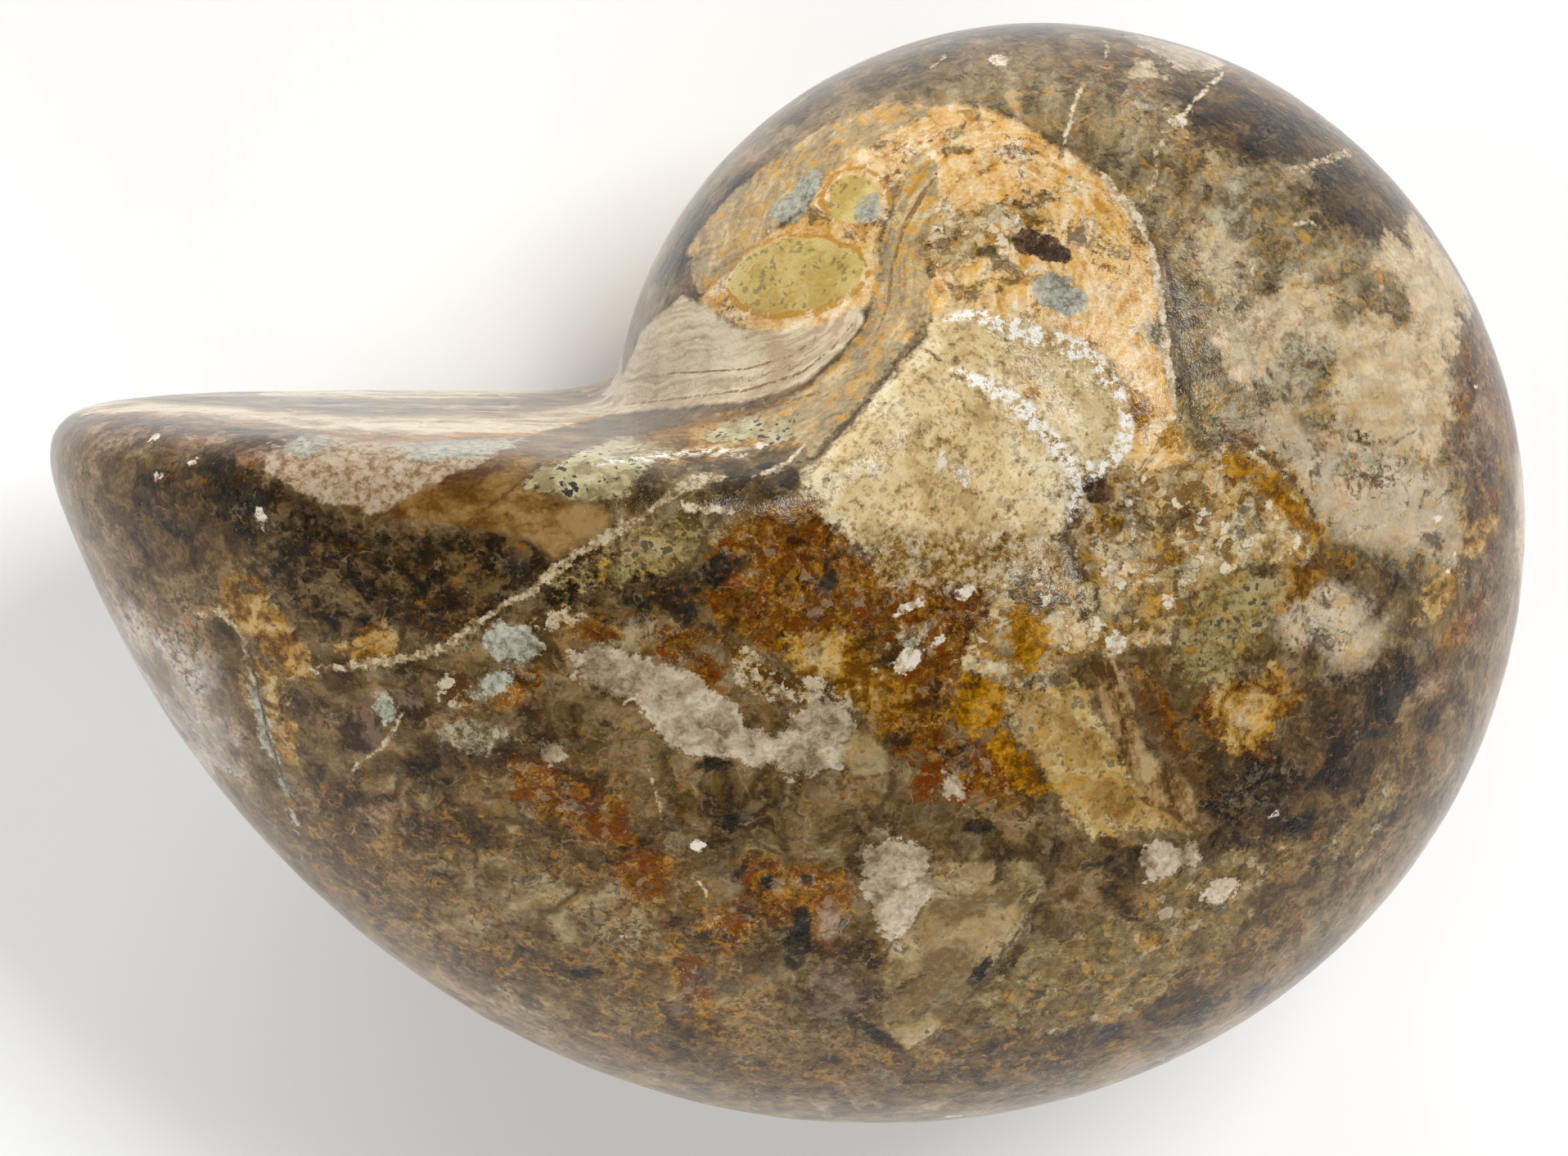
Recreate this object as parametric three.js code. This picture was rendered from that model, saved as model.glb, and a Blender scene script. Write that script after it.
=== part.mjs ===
// A fossil nautilus: one solid piece of stone, ground and polished all over, lying on one flank.
// Millimetres, +Z up. The shell is symmetrical about the plane of its coil and has no opening:
// its body chamber is filled with stone, so the aperture is a closed, slightly domed face.

import * as THREE from 'three';
import { mergeVertices } from 'three/addons/utils/BufferGeometryUtils.js';

// The back of the shell is a spiral. Turns are measured in degrees around the coil axis,
// from the inner corner of the aperture (0) to its outer lip (360), going away from the face.
const firstRadius = 28.4; // from the coil axis to the back, at turn 0
const growth = 0.113; // even growth of that radius, per radian of turn
const flare = 0.27; // how much wider than even growth the shell opens at the lip
const flareStart = 233; // turn at which it begins to open
const flarePower = 2.5;
const innerCorner = 171; // direction of turn 0, in degrees from +X

// The section across the coil
const lipHalfWidth = 35; // half of the greatest width, at the lip
const widthPower = 0.42; // the width follows the radius to this power
const axisHalfWidth = 28.5; // half of the thickness on the coil axis
const shoulder = { from: 2, to: 26 }; // distances from the axis over which the flank takes over
const squareness = 2.3; // 2 is an ellipse, more is fuller
const umbilicus = { depth: 2, radius: 4.5 }; // the dimple at the centre of each flank

// The aperture face is nearly level, and sweeps up around the hill in the middle of each flank
const face = { height: 5.6, slope: -0.027, doming: 0.0015 }; // above the coil axis
const sweep = { height: 12, from: -22, to: -3 }; // across X
const rimRounding = 6;

// Past the face the last whorl sinks into the one before it over these turns
const merging = { from: 5, to: 65 };

// The hollow between the face and the back above it: tight at the middle, wide at the flanks
const cornerFillet = { middle: 2.5, side: 12, from: 6, to: 24 };
const filletReach = { axisFrom: 6, axisTo: 20, turnFrom: 25, turnTo: 75 };

// How it lies: on one flank, leaning until its weight is over the flat that it rests on
const lean = { toBack: 5.6, toAperture: 8.5 }; // degrees, of the upper end of the coil axis
const restingFlatDepth = 0.35; // stone worn away where it rests

// The surface is drawn by rays from one point inside, through an evenly divided cube
const rayCentre = new THREE.Vector3(-19, -15, 0);
const rayStretch = new THREE.Vector3(1.35, 1.1, 0.85); // closer rays towards the far ends
const rayDivisions = 28;
const rayStep = 1;
const rayHalvings = 24;

const { RAD2DEG: degrees, lerp, smoothstep } = THREE.MathUtils;

function backRadius(turn) {
  const opening = Math.max(0, (turn - flareStart) / (360 - flareStart));
  return firstRadius * Math.exp(growth * turn / degrees) * (1 + flare * opening ** flarePower);
}

function halfWidth(turn, fromAxis) {
  const flank = lipHalfWidth * (backRadius(turn) / backRadius(360)) ** widthPower;
  const share = smoothstep(fromAxis, shoulder.from, shoulder.to);
  const dimple = umbilicus.depth * Math.exp(-((fromAxis / umbilicus.radius) ** 2));
  return lerp(axisHalfWidth, flank, share) - dimple;
}

// About how far a point is outside the whorl that passes it at this turn; negative inside
function outsideWhorl(turn, fromAxis, fromMiddle) {
  const radius = backRadius(turn);
  const width = halfWidth(turn, fromAxis);
  const across = fromAxis / radius;
  const along = fromMiddle / width;
  const level = (across ** squareness + along ** squareness) ** (1 / squareness);
  const steepness = Math.hypot(
    across ** (squareness - 1) / radius,
    along ** (squareness - 1) / width,
  ) * level ** (1 - squareness);
  return (level - 1) / Math.max(steepness, 0.0001);
}

// Smooth joins: where two distances are closer than the rounding, the corner is filled or rounded
function filled(a, b, rounding) {
  const overlap = Math.max(0, rounding - Math.abs(a - b));
  return Math.min(a, b) - overlap ** 2 / (4 * rounding);
}

function rounded(a, b, rounding) {
  return -filled(-a, -b, rounding);
}

function apertureHeight(point) {
  const swept = sweep.height * smoothstep(point.x, sweep.from, sweep.to);
  return face.height + face.slope * (point.x + firstRadius) - face.doming * point.z ** 2 + swept;
}

function filletRadius(innerTurn, fromAxis, fromMiddle) {
  const share = smoothstep(fromMiddle, cornerFillet.from, cornerFillet.to);
  const nearCorner = 1 - smoothstep(Math.abs(innerTurn), filletReach.turnFrom, filletReach.turnTo);
  const clearOfAxis = smoothstep(fromAxis, filletReach.axisFrom, filletReach.axisTo);
  return 0.01 + lerp(cornerFillet.middle, cornerFillet.side, share) * nearCorner * clearOfAxis;
}

function outsideShell(point) {
  const fromMiddle = Math.abs(point.z);
  const fromAxis = Math.hypot(point.x, point.y);
  const direction = Math.atan2(point.y, point.x) * degrees;
  const turn = THREE.MathUtils.euclideanModulo(innerCorner - direction, 360);
  if (point.x >= 0) {
    return outsideWhorl(turn, fromAxis, fromMiddle);
  }
  // On the aperture's side the end of the last whorl meets the back of the one before
  const innerTurn = turn < 180 ? turn : turn - 360;
  const inner = outsideWhorl(innerTurn, fromAxis, fromMiddle);
  const ending = outsideWhorl(innerTurn + 360, fromAxis, fromMiddle);
  const outer = lerp(ending, inner, smoothstep(innerTurn, merging.from, merging.to));
  const lastWhorl = rounded(outer, point.y - apertureHeight(point), rimRounding);
  return filled(inner, lastWhorl, filletRadius(innerTurn, fromAxis, fromMiddle));
}

function surfacePoint(ray) {
  const point = new THREE.Vector3();
  const at = (distance) => point.copy(rayCentre).addScaledVector(ray, distance);
  let far = rayStep;
  while (outsideShell(at(far)) < 0) {
    far += rayStep;
  }
  let near = far - rayStep;
  for (let i = 0; i < rayHalvings; i += 1) {
    const middle = (near + far) / 2;
    if (outsideShell(at(middle)) < 0) {
      near = middle;
    } else {
      far = middle;
    }
  }
  return at(far).clone();
}

function shellGeometry() {
  const cube = new THREE.BoxGeometry(2, 2, 2, rayDivisions, rayDivisions, rayDivisions);
  cube.deleteAttribute('normal');
  cube.deleteAttribute('uv');
  cube.clearGroups();
  const geometry = mergeVertices(cube);
  const places = geometry.attributes.position;
  const ray = new THREE.Vector3();
  for (let i = 0; i < places.count; i += 1) {
    const even = [places.getX(i), places.getY(i), places.getZ(i)].map((c) => Math.tan(c * Math.PI / 4));
    ray.fromArray(even).multiply(rayStretch).normalize();
    const point = surfacePoint(ray);
    places.setXYZ(i, point.x, point.y, point.z);
  }
  return geometry;
}

// Splits each four-sided cell along its shorter diagonal, so that tight curves stay even
function splitShorter(geometry) {
  const { index, attributes: { position } } = geometry;
  const corner = (i) => new THREE.Vector3().fromBufferAttribute(position, i);
  for (let cell = 0; cell < index.count; cell += 6) {
    const [a, b, d, , c] = index.array.slice(cell, cell + 6);
    if (corner(a).distanceTo(corner(c)) < corner(b).distanceTo(corner(d))) {
      index.array.set([a, b, c, a, c, d], cell);
    }
  }
  return geometry;
}

// Lays the geometry down: leans it, drops it on z = 0, wears its resting flat and centres it
function lieDown(geometry) {
  geometry.rotateX(lean.toAperture / degrees);
  geometry.rotateY(lean.toBack / degrees);
  geometry.computeBoundingBox();
  geometry.translate(0, 0, -geometry.boundingBox.min.z - restingFlatDepth);
  const places = geometry.attributes.position;
  for (let i = 0; i < places.count; i += 1) {
    places.setZ(i, Math.max(0, places.getZ(i)));
  }
  geometry.computeBoundingBox();
  const { min, max } = geometry.boundingBox;
  geometry.translate(-(min.x + max.x) / 2, -(min.y + max.y) / 2, 0);
  geometry.computeVertexNormals();
  return geometry;
}

const polishedStone = new THREE.MeshStandardMaterial({ color: 0x8f7247, roughness: 0.25, metalness: 0 });

const nautilus = new THREE.Mesh(lieDown(splitShorter(shellGeometry())), polishedStone);
nautilus.name = 'fossil_nautilus';

const part = new THREE.Group();
part.add(nautilus);

export default part;
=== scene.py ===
import bmesh
import bpy
import math
import numpy as np
from mathutils import Matrix, Vector, noise


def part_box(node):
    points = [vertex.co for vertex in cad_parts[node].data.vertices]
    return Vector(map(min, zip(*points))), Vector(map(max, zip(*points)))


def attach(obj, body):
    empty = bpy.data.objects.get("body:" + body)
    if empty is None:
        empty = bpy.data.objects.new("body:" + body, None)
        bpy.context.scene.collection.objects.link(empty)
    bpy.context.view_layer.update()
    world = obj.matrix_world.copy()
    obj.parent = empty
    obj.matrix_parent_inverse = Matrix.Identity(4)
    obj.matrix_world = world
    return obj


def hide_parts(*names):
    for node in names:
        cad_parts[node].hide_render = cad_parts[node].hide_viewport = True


# A polished fossil nautilus that lies on its side, seen from above.
# Sizes are millimetres of stone unless a line says metres.

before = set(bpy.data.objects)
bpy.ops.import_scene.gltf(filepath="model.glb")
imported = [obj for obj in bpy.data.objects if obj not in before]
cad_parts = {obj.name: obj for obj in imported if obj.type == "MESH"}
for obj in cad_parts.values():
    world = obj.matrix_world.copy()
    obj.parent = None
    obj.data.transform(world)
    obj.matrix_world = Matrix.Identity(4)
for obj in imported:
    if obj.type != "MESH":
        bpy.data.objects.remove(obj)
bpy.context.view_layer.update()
millimetre = 0.001
tiny = 1e-9

stone = {
    "axisShare": (0.636, 0.590, 0.462),   # the coil's axis on its middle plane, as shares of the box
    "leanToBack": 5.6,                    # degrees that the shell leans as it lies
    "leanToAperture": 8.5,
    "flankHeight": 28,                    # of the flanks, from the middle plane
    "rollOut": 0.5,                       # how fast the map of a flank runs on down the round outside
    "mapCore": 12,                        # where the map starts to do so
    "sideReach": 4,                       # how far past the middle plane a flank's patches may go
    "beltRadius": 38,                     # turns degrees round the outside into millimetres
    "patchReach": 12,                     # distances to patches are kept up to here
    "usualDepth": 0.5,                    # how far into a patch they are kept, as a share of its raggedness
    "lineReach": 1.4,                     # distances to lines are kept up to here
    "lineGap": 1,                         # lines stop this far from the middle plane
    "weld": 1e-6,                         # metres between points that are one point
    "smoothing": 2,                       # subdivision levels
}


# the mesh

def polishedCopy():
    # a merged, smoothed copy of the solid
    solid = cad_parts["fossil_nautilus"]
    mesh = solid.data.copy()
    mesh.materials.clear()
    work = bmesh.new()
    work.from_mesh(mesh)
    bmesh.ops.remove_doubles(work, verts=work.verts, dist=stone["weld"])
    bmesh.ops.join_triangles(
        work, faces=work.faces, cmp_seam=False, cmp_sharp=False, cmp_uvs=False, cmp_vcols=False,
        cmp_materials=False, angle_face_threshold=math.pi, angle_shape_threshold=math.pi)
    work.to_mesh(mesh)
    work.free()
    rough = bpy.data.objects.new("roughStone", mesh)
    bpy.context.scene.collection.objects.link(rough)
    smoothing = rough.modifiers.new("smoothing", "SUBSURF")
    smoothing.levels = smoothing.render_levels = stone["smoothing"]
    bpy.context.view_layer.update()
    seen = rough.evaluated_get(bpy.context.evaluated_depsgraph_get())
    fine = bpy.data.meshes.new_from_object(seen)
    bpy.data.objects.remove(rough)
    for name in [a.name for a in fine.attributes if a.name.startswith(("custom", "sharp", "UV"))]:
        fine.attributes.remove(fine.attributes[name])
    fine.shade_smooth()
    nautilus = bpy.data.objects.new("polishedNautilus", fine)
    bpy.context.scene.collection.objects.link(nautilus)
    return nautilus


def perPoint(mesh, what):
    # "co" for the places of the points, "normal" for the directions that they face
    flat = np.zeros(len(mesh.vertices) * 3)
    mesh.vertices.foreach_get(what, flat)
    return flat.reshape(-1, 3)


# where a point is on the stone

boxLow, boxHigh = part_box("fossil_nautilus")
axisPoint = np.array([a + share * (b - a) for a, b, share in zip(boxLow, boxHigh, stone["axisShare"])])
axisPoint = axisPoint / millimetre
lean = (Matrix.Rotation(math.radians(stone["leanToBack"]), 3, "Y")
        @ Matrix.Rotation(math.radians(stone["leanToAperture"]), 3, "X"))
shellToWorld = np.array(lean)


def easeIn(values, start, end):
    share = np.clip((values - start) / (end - start), 0, 1)
    return share * share * (3 - 2 * share)


def shellPlaces(points):
    return (points / millimetre - axisPoint) @ shellToWorld


def flankMap(shell, side):
    # the shell's own x and y, spread outwards where the flank turns down to the round outside
    away = np.hypot(shell[:, 0], shell[:, 1])
    down = stone["flankHeight"] - side * shell[:, 2]
    spread = stone["rollOut"] * down * easeIn(away, 0, stone["mapCore"])
    share = (away + spread) / np.maximum(away, tiny)
    return shell[:, 0] * share, shell[:, 1] * share


# distances to patches and lines

def toSegments(x, y, route):
    # for each point: distance to a route, share along it, and signed distance to its side
    best = np.full(len(x), np.inf)
    along = np.zeros(len(x))
    beside = np.zeros(len(x))
    steps = len(route) - 1
    for i in range(steps):
        (ax, ay), (bx, by) = route[i][:2], route[i + 1][:2]
        dx, dy = bx - ax, by - ay
        share = np.clip(((x - ax) * dx + (y - ay) * dy) / max(dx * dx + dy * dy, tiny), 0, 1)
        gapX, gapY = x - ax - share * dx, y - ay - share * dy
        gap = np.hypot(gapX, gapY)
        nearer = gap < best
        turn = np.sign(dx * gapY - dy * gapX)
        best = np.where(nearer, gap, best)
        along = np.where(nearer, (i + share) / steps, along)
        beside = np.where(nearer, gap * turn, beside)
    return best, along, beside


def outlineDistance(x, y, outline):
    # millimetres to the outline of a patch, negative inside it
    closed = list(outline) + [outline[0]]
    gap = toSegments(x, y, closed)[0]
    inside = np.zeros(len(x), bool)
    for (ax, ay), (bx, by) in zip(closed[:-1], closed[1:]):
        crosses = (ay > y) != (by > y)
        reach = ax + (y - ay) * (bx - ax) / ((by - ay) if by != ay else tiny)
        inside ^= crosses & (x < reach)
    return np.where(inside, -gap, gap)


def ovalDistance(x, y, oval):
    # oval: middle x and y, half length, half width, degrees turned
    cx, cy, long, wide, turned = oval
    angle = math.radians(turned)
    u = (x - cx) * math.cos(angle) + (y - cy) * math.sin(angle)
    v = (y - cy) * math.cos(angle) - (x - cx) * math.sin(angle)
    return (np.hypot(u / long, v / wide) - 1) * min(long, wide)


def patchDistance(x, y, patch):
    if isinstance(patch[0], (int, float)):
        return ovalDistance(x, y, patch)
    return outlineDistance(x, y, patch)


# the kinds of stone, from the ground up

# Each kind has shades from dark to light, and "drive" says which noises choose between them.
# "ragged" and "soft" are its edge's wander and blur in millimetres, "crumbs" breaks the edge into grains,
# and "depth" is how far in a patch is solid, as a share of its raggedness.
# "steel", "nuggets", "brick", "dots", "specks", "chips" and "web" are strengths of what lies in it.
# A patch is an outline, or an oval (middle, half length, half width, degrees turned).
# "near" patches are on the flank that faces up and "far" patches on the one that lies down. "belt" ovals
# are on the round outside: the first number is degrees round it, the second millimetres off its middle.

kinds = {
    "oliveCoil": {
        "shades": [(80, 68, 46), (118, 102, 74), (146, 130, 100), (172, 158, 130)],
        "drive": {"cloud": 0.3, "mottle": 0.35, "streak": 0.35}, "ragged": 2.5, "soft": 1.5,
        "nuggets": 0.4, "steel": 0.4,
        "near": [
            [(-33, 24), (-26, 34), (-15, 40), (0, 42), (14, 38), (26, 27), (36, 14), (40, 0), (34, -8),
             (22, -4), (14, 0), (9.5, 8), (9, 20), (4, 30), (-6, 35), (-16, 33), (-24, 28)],
        ],
        "far": [(0, 0, 52, 44, 20)],
    },
    "khakiBody": {
        "shades": [(50, 37, 23), (80, 61, 38), (102, 82, 56), (132, 114, 84)],
        "drive": {"cloud": 0.35, "mottle": 0.35, "grain": 0.3}, "ragged": 4, "soft": 2, "nuggets": 0.3,
        "dots": 0.5,
        "near": [
            [(-60, -22), (-50, -19), (-42, -22), (-35, -15), (-29, -24), (-24, -30), (-22, -46),
             (-40, -50), (-54, -40), (-63, -27)],
            [(-24, -41), (-15, -42), (-6, -40), (10, -38), (22, -32), (24, -42), (6, -54), (-22, -56)],
        ],
        "far": [(-30, -20, 30, 22, 30)],
        "belt": [(-90, 0, 62, 18, 0), (50, 0, 44, 15, 0)],
    },
    "rimGrey": {
        "shades": [(68, 54, 38), (100, 84, 60), (122, 104, 80), (148, 130, 104)],
        "drive": {"cloud": 0.4, "mottle": 0.4, "streak": 0.2}, "ragged": 3, "soft": 3,
        "near": [
            [(-33, 19), (-29, 24), (-25, 28), (-19, 32), (-15, 36), (-6, 37.5), (2, 39), (10, 42),
             (5, 52), (-20, 48), (-42, 32), (-50, 12), (-41, 11)],
            [(-62, -34), (-52, -39), (-38, -46), (-22, -50), (0, -50), (14, -45), (24, -36), (34, -26),
             (43, -14), (46, 0), (44, 14), (60, 10), (55, -30), (30, -60), (-30, -70), (-80, -50)],
            [(-80, 4), (-76, 0), (-74, -6), (-69, -9), (-67, -15), (-63, -24), (-75, -30), (-96, -10),
             (-95, 6)],
        ],
        "far": [
            [(-62, -34), (-52, -40), (-38, -47), (0, -51), (24, -38), (43, -18), (47, 4), (38, 26),
             (20, 40), (-10, 44), (-34, 34), (-42, 12), (-60, 12), (-30, 60), (40, 60), (70, 0),
             (40, -60), (-30, -80), (-100, -50), (-95, 6), (-76, 0), (-72, -20)],
        ],
    },
    "umberCloud": {
        "shades": [(26, 19, 12), (58, 43, 27), (84, 66, 43), (112, 93, 64)],
        "drive": {"cloud": 0.45, "mottle": 0.45, "grain": 0.1}, "ragged": 3.5, "soft": 1.4, "crumbs": 1.2,
        "near": [
            [(-36, 21), (-31.5, 23), (-28.5, 27), (-24, 30.5), (-27, 33), (-33, 29), (-38, 22)],
            [(13.5, 36.5), (19, 37.5), (25, 35), (29.5, 31.5), (27, 29.8), (21, 27.5), (17.5, 28.5),
             (14, 32)],
            [(22, 26), (29, 28.7), (34, 27), (37, 21), (32, 20), (27, 22), (24, 23.3)],
            [(10, -15), (20, -13), (30, -14), (36, -20), (30, -29), (20, -33), (13, -28), (10, -22)],
            [(-72, 4), (-66, 5), (-61, 3), (-59, 0), (-60, -4), (-66, -5), (-71, -4), (-74, 0)],
            [(3.5, -24), (7, -26), (8, -30), (6, -33), (3, -30), (2.5, -26)],
            [(6, -41), (14, -40), (17, -43), (10, -46), (4, -45)],
            (-36, -24, 3, 2, 20), (-27, -20.5, 4, 1.6, 0), (-45, -18, 5, 2.5, 10),
            (-38, -33.5, 2.6, 1, 20), (-31, -45, 3, 1.2, 10), (-53, -23, 2.5, 1.5, 30),
        ],
        "far": [
            (12, 12, 9, 5, 40), (-34, -4, 10, 5, 10), (-6, -38, 9, 4, 0), (32, -10, 6, 9, 0),
            (-62, -18, 5, 8, 0),
        ],
        "belt": [
            (-60, 2, 9, 4, 20), (-122, -3, 10, 4, -10), (20, 0, 7, 5, 0), (84, 3, 8, 3, 10),
            (-18, -9, 8, 3, 0), (58, -12, 8, 4, 0),
        ],
    },
    "paleBeige": {
        "shades": [(84, 66, 42), (110, 92, 64), (130, 112, 84), (150, 134, 104)],
        "drive": {"cloud": 0.5, "mottle": 0.35, "bands": 0.15}, "ragged": 3, "soft": 0.9, "dots": 0.3,
        "near": [
            [(-48, -27), (-42, -26), (-38, -28), (-33, -28), (-31, -33), (-36, -34), (-43, -32)],
            [(-43, -19.5), (-40, -19), (-39, -22), (-41, -24), (-43, -22)],
            [(-33.5, -6.5), (-29, -6), (-26.5, -7), (-26.8, -10), (-30, -12), (-33.5, -11.5), (-36, -9.5)],
            (-42, -41, 4, 2, 20), (-47, -33, 3, 2, 60), (-37, -31, 5, 2.4, 10), (-27, -37, 4.5, 2.2, 25),
            (-51, -22, 3, 2, 40),
        ],
        "far": [(-20, -28, 9, 6, 20), (18, -18, 8, 5, 60), (-50, -12, 7, 5, 0), (6, 26, 10, 4, 10)],
        "belt": [
            (-76, -8, 7, 4, 0), (-8, 6, 6, 3, 10), (50, -5, 7, 3, 0), (100, -8, 6, 3, 0),
            (-108, 7, 7, 2, 0), (-44, 8, 5, 2, 10),
        ],
    },
    "duskyBand": {
        "shades": [(26, 20, 12), (46, 34, 20), (70, 54, 34), (100, 82, 56)],
        "drive": {"mottle": 0.5, "grain": 0.4, "cells": 0.1}, "ragged": 2.5, "soft": 0.8, "crumbs": 0.8,
        "near": [
            [(-66, 5.5), (-60, 4.6), (-56, 2), (-50, -0.4), (-42, 0), (-36, 0.5), (-33, -1), (-38, -4.6),
             (-45, -8.4), (-50, -7), (-54, -8.5), (-59, -5), (-60, -1), (-64, 0)],
            [(-36, 0), (-30, -2), (-27, -3), (-25, -5), (-29, -6.5), (-35, -6.5), (-38.5, -5)],
        ],
        "far": [(-48, 0, 8, 3, 10), (20, -2, 8, 3, 50)],
    },
    "rust": {
        "shades": [(50, 30, 12), (86, 54, 24), (116, 78, 38), (150, 114, 66)],
        "drive": {"grain": 0.45, "mottle": 0.35, "cloud": 0.2}, "ragged": 2.2, "soft": 0.6,
        "specks": 0.35, "dots": 0.4, "nuggets": 0.3, "brick": 0.75, "crumbs": 1.6, "chips": 0.15,
        "near": [
            (39.5, 4, 8, 3.2, 95), (36, -11.5, 3, 1.5, 30), (13, -16.5, 4, 1.8, -35),
            (7.5, -16, 4.5, 0.9, -60),
            [(-24, -0.6), (-21, 1.2), (-18, 1.4), (-14, 0.3), (-12.6, -3), (-12.2, -7), (-14.5, -9),
             (-20, -8.6), (-23.5, -7), (-25.6, -4.5)],
            [(-14, -2.6), (-10, -3.4), (-6, -5), (-5.2, -9), (-8, -10.5), (-8.4, -14), (-12, -17),
             (-14.4, -13), (-13, -9)],
            [(-10, -15), (-6.5, -15.6), (-3.5, -17.5), (-2, -20.4), (-5, -21), (-8, -21), (-11.8, -20.5)],
            [(-24.5, -24.5), (-20.5, -25), (-16.2, -26.5), (-15.6, -30), (-17.5, -33.5), (-22, -31),
             (-26, -34), (-28, -31), (-24.5, -28.6)],
            [(-41, -17), (-36, -18), (-32.5, -20.5), (-31, -25), (-36, -24), (-41, -21)],
            (-27.5, -8, 2.6, 1.2, 20), (-31.5, -26.5, 2.2, 3, 0), (-25.5, -10, 1.1, 2, 0),
            (-40, -11.5, 2.5, 1.5, 30), (-33.5, -7.5, 2, 1, 0), (-28.5, -37, 1.6, 3.4, 10),
        ],
        "far": [(-10, -14, 9, 6, 30), (14, 6, 6, 4, 0), (-40, -22, 6, 4, 60), (-24, 6, 5, 2.6, 20)],
        "belt": [
            (10, 11, 5, 2.6, 0), (-14, 10, 3.5, 2, -10), (-92, 5, 5, 2.5, 0), (-32, -4, 6, 3, 20),
            (118, -3, 5, 3, 10), (-66, -13, 6, 3, 0), (8, 8, 4, 2, 0),
        ],
    },
    "goldSpeckle": {
        "shades": [(160, 139, 108), (179, 160, 130), (196, 179, 150), (208, 193, 167)],
        "drive": {"mottle": 0.28, "streak": 0.22}, "ragged": 4, "soft": 1, "nuggets": 0.2, "steel": 0.25,
        "crumbs": 0.8, "chips": 0.12,
        "near": [
            (27, 6.5, 5.5, 3, 5), (36, 16, 4.5, 3.5, 70),
            [(23, 13), (28, 15), (34, 13), (36, 8), (33, 2.5), (27, 3), (22.5, 6)],
            [(12, 13.5), (16, 15.5), (20, 18), (24, 17), (23, 13), (18, 10.5), (13, 9)],
            (33, 20, 3, 2, 30), (14, 20, 2, 3, 0), (36, 22, 3, 1.6, 30), (12, 38, 2, 1, 0),
        ],
        "far": [(26, 8, 8, 5, 0), (-8, 30, 8, 4, 10)],
        "belt": [(26, 12, 4, 3, 10)],
    },
    "softBuff": {
        "shades": [(161, 144, 119), (178, 161, 137), (190, 175, 151), (201, 187, 164)],
        "drive": {"cloud": 0.25, "mottle": 0.28}, "ragged": 2, "soft": 1.6, "depth": 1.4, "crumbs": 0.7,
        "near": [
            (25.5, 0, 9.5, 3.6, -20), (18, 5, 3.5, 1.6, -30), (20.5, -9, 4.6, 2.6, -15),
            (24, -11.5, 3, 1.6, 20),
        ],
        "far": [(30, -18, 7, 4, 30), (-30, 12, 6, 4, 0)],
        "belt": [(-6, 9, 5, 3, 10), (30, 2, 6, 3, 10), (-80, 2, 5, 2, 0)],
    },
    "ochre": {
        "shades": [(88, 58, 22), (128, 96, 48), (158, 126, 74), (184, 158, 112)],
        "drive": {"mottle": 0.45, "grain": 0.4, "bands": 0.15}, "ragged": 1.8, "soft": 0.5, "brick": 0.3,
        "nuggets": 0.4, "crumbs": 1.2,
        "near": [
            (-13.5, -12, 3.4, 1, -25),
            [(-63.5, -4.5), (-60.5, -4), (-59, -6), (-57, -9), (-56.5, -12), (-59, -12), (-61.5, -9.5),
             (-64.5, -7)],
            [(-54.5, -9.6), (-52, -8.4), (-50.4, -7.2), (-48.6, -7.8), (-49.6, -9.6), (-52.6, -10.4)],
            [(-19.6, -7), (-13.4, -7.4), (-11.8, -11), (-13.4, -14), (-16.6, -11.6), (-19.4, -9.8)],
            [(11, -14), (16.4, -12), (19, -15), (14.6, -19), (11.4, -17.4)],
            (18, -6, 3.4, 1.6, 20),
            [(-28, 4), (-23, 5), (-18.6, 5.4), (-17.4, 8), (-20.6, 8.8), (-28.6, 7.4), (-33, 5.6)],
            (-61, -15, 2, 4.4, 10), (33, -8.5, 3, 1.4, 30), (38, -3.4, 3, 2.4, 0),
        ],
        "far": [(-46, -30, 5, 3, 30), (36, 10, 4, 6, 0), (0, -22, 6, 3, 20)],
        "belt": [(-22, 9, 3, 2, 0), (-134, 3, 5, 2, 10), (36, -8, 4, 2, 0), (-55, -3, 3, 1.6, 0)],
    },
    "amberBand": {
        "shades": [(180, 132, 76), (206, 168, 116), (218, 192, 150), (228, 214, 188)],
        "drive": {"streak": 0.25, "mottle": 0.3, "flow": 0.2}, "ragged": 1.4, "soft": 0.6,
        "near": [
            [(-21, 31), (-16, 34), (-10, 35.6), (-4, 34.6), (0, 31.6), (3.5, 28.8), (6.5, 24.8),
             (7.8, 20), (8, 14), (8, 8), (9.5, 4), (6, 2), (3.4, 3), (3.4, 8), (1.6, 11), (-1, 12.6),
             (-5, 14), (-10, 14.4), (-11, 17), (-9.5, 21), (-10, 25), (-12, 28), (-16, 30.5)],
            [(-31, 18.6), (-29, 16.8), (-26, 15.2), (-22.8, 14.6), (-19, 15), (-15.2, 16.8), (-14.4, 22),
             (-13.4, 26), (-13.2, 30), (-18, 31), (-20, 27), (-22, 25), (-26, 24), (-29.5, 21.5)],
        ],
        "far": [(2, 4, 14, 11, 30), (-18, 18, 12, 4, 40)],
    },
    "breccia": {
        "shades": [(120, 92, 54), (158, 134, 94), (180, 158, 120), (202, 186, 152)],
        "drive": {"mottle": 0.4, "grain": 0.35, "cells": 0.15, "bands": 0.1}, "ragged": 1.8, "soft": 0.5,
        "steel": 0.35, "nuggets": 0.5, "crumbs": 1, "specks": 0.5, "chips": 0.8, "web": 0.25,
        "near": [
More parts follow.
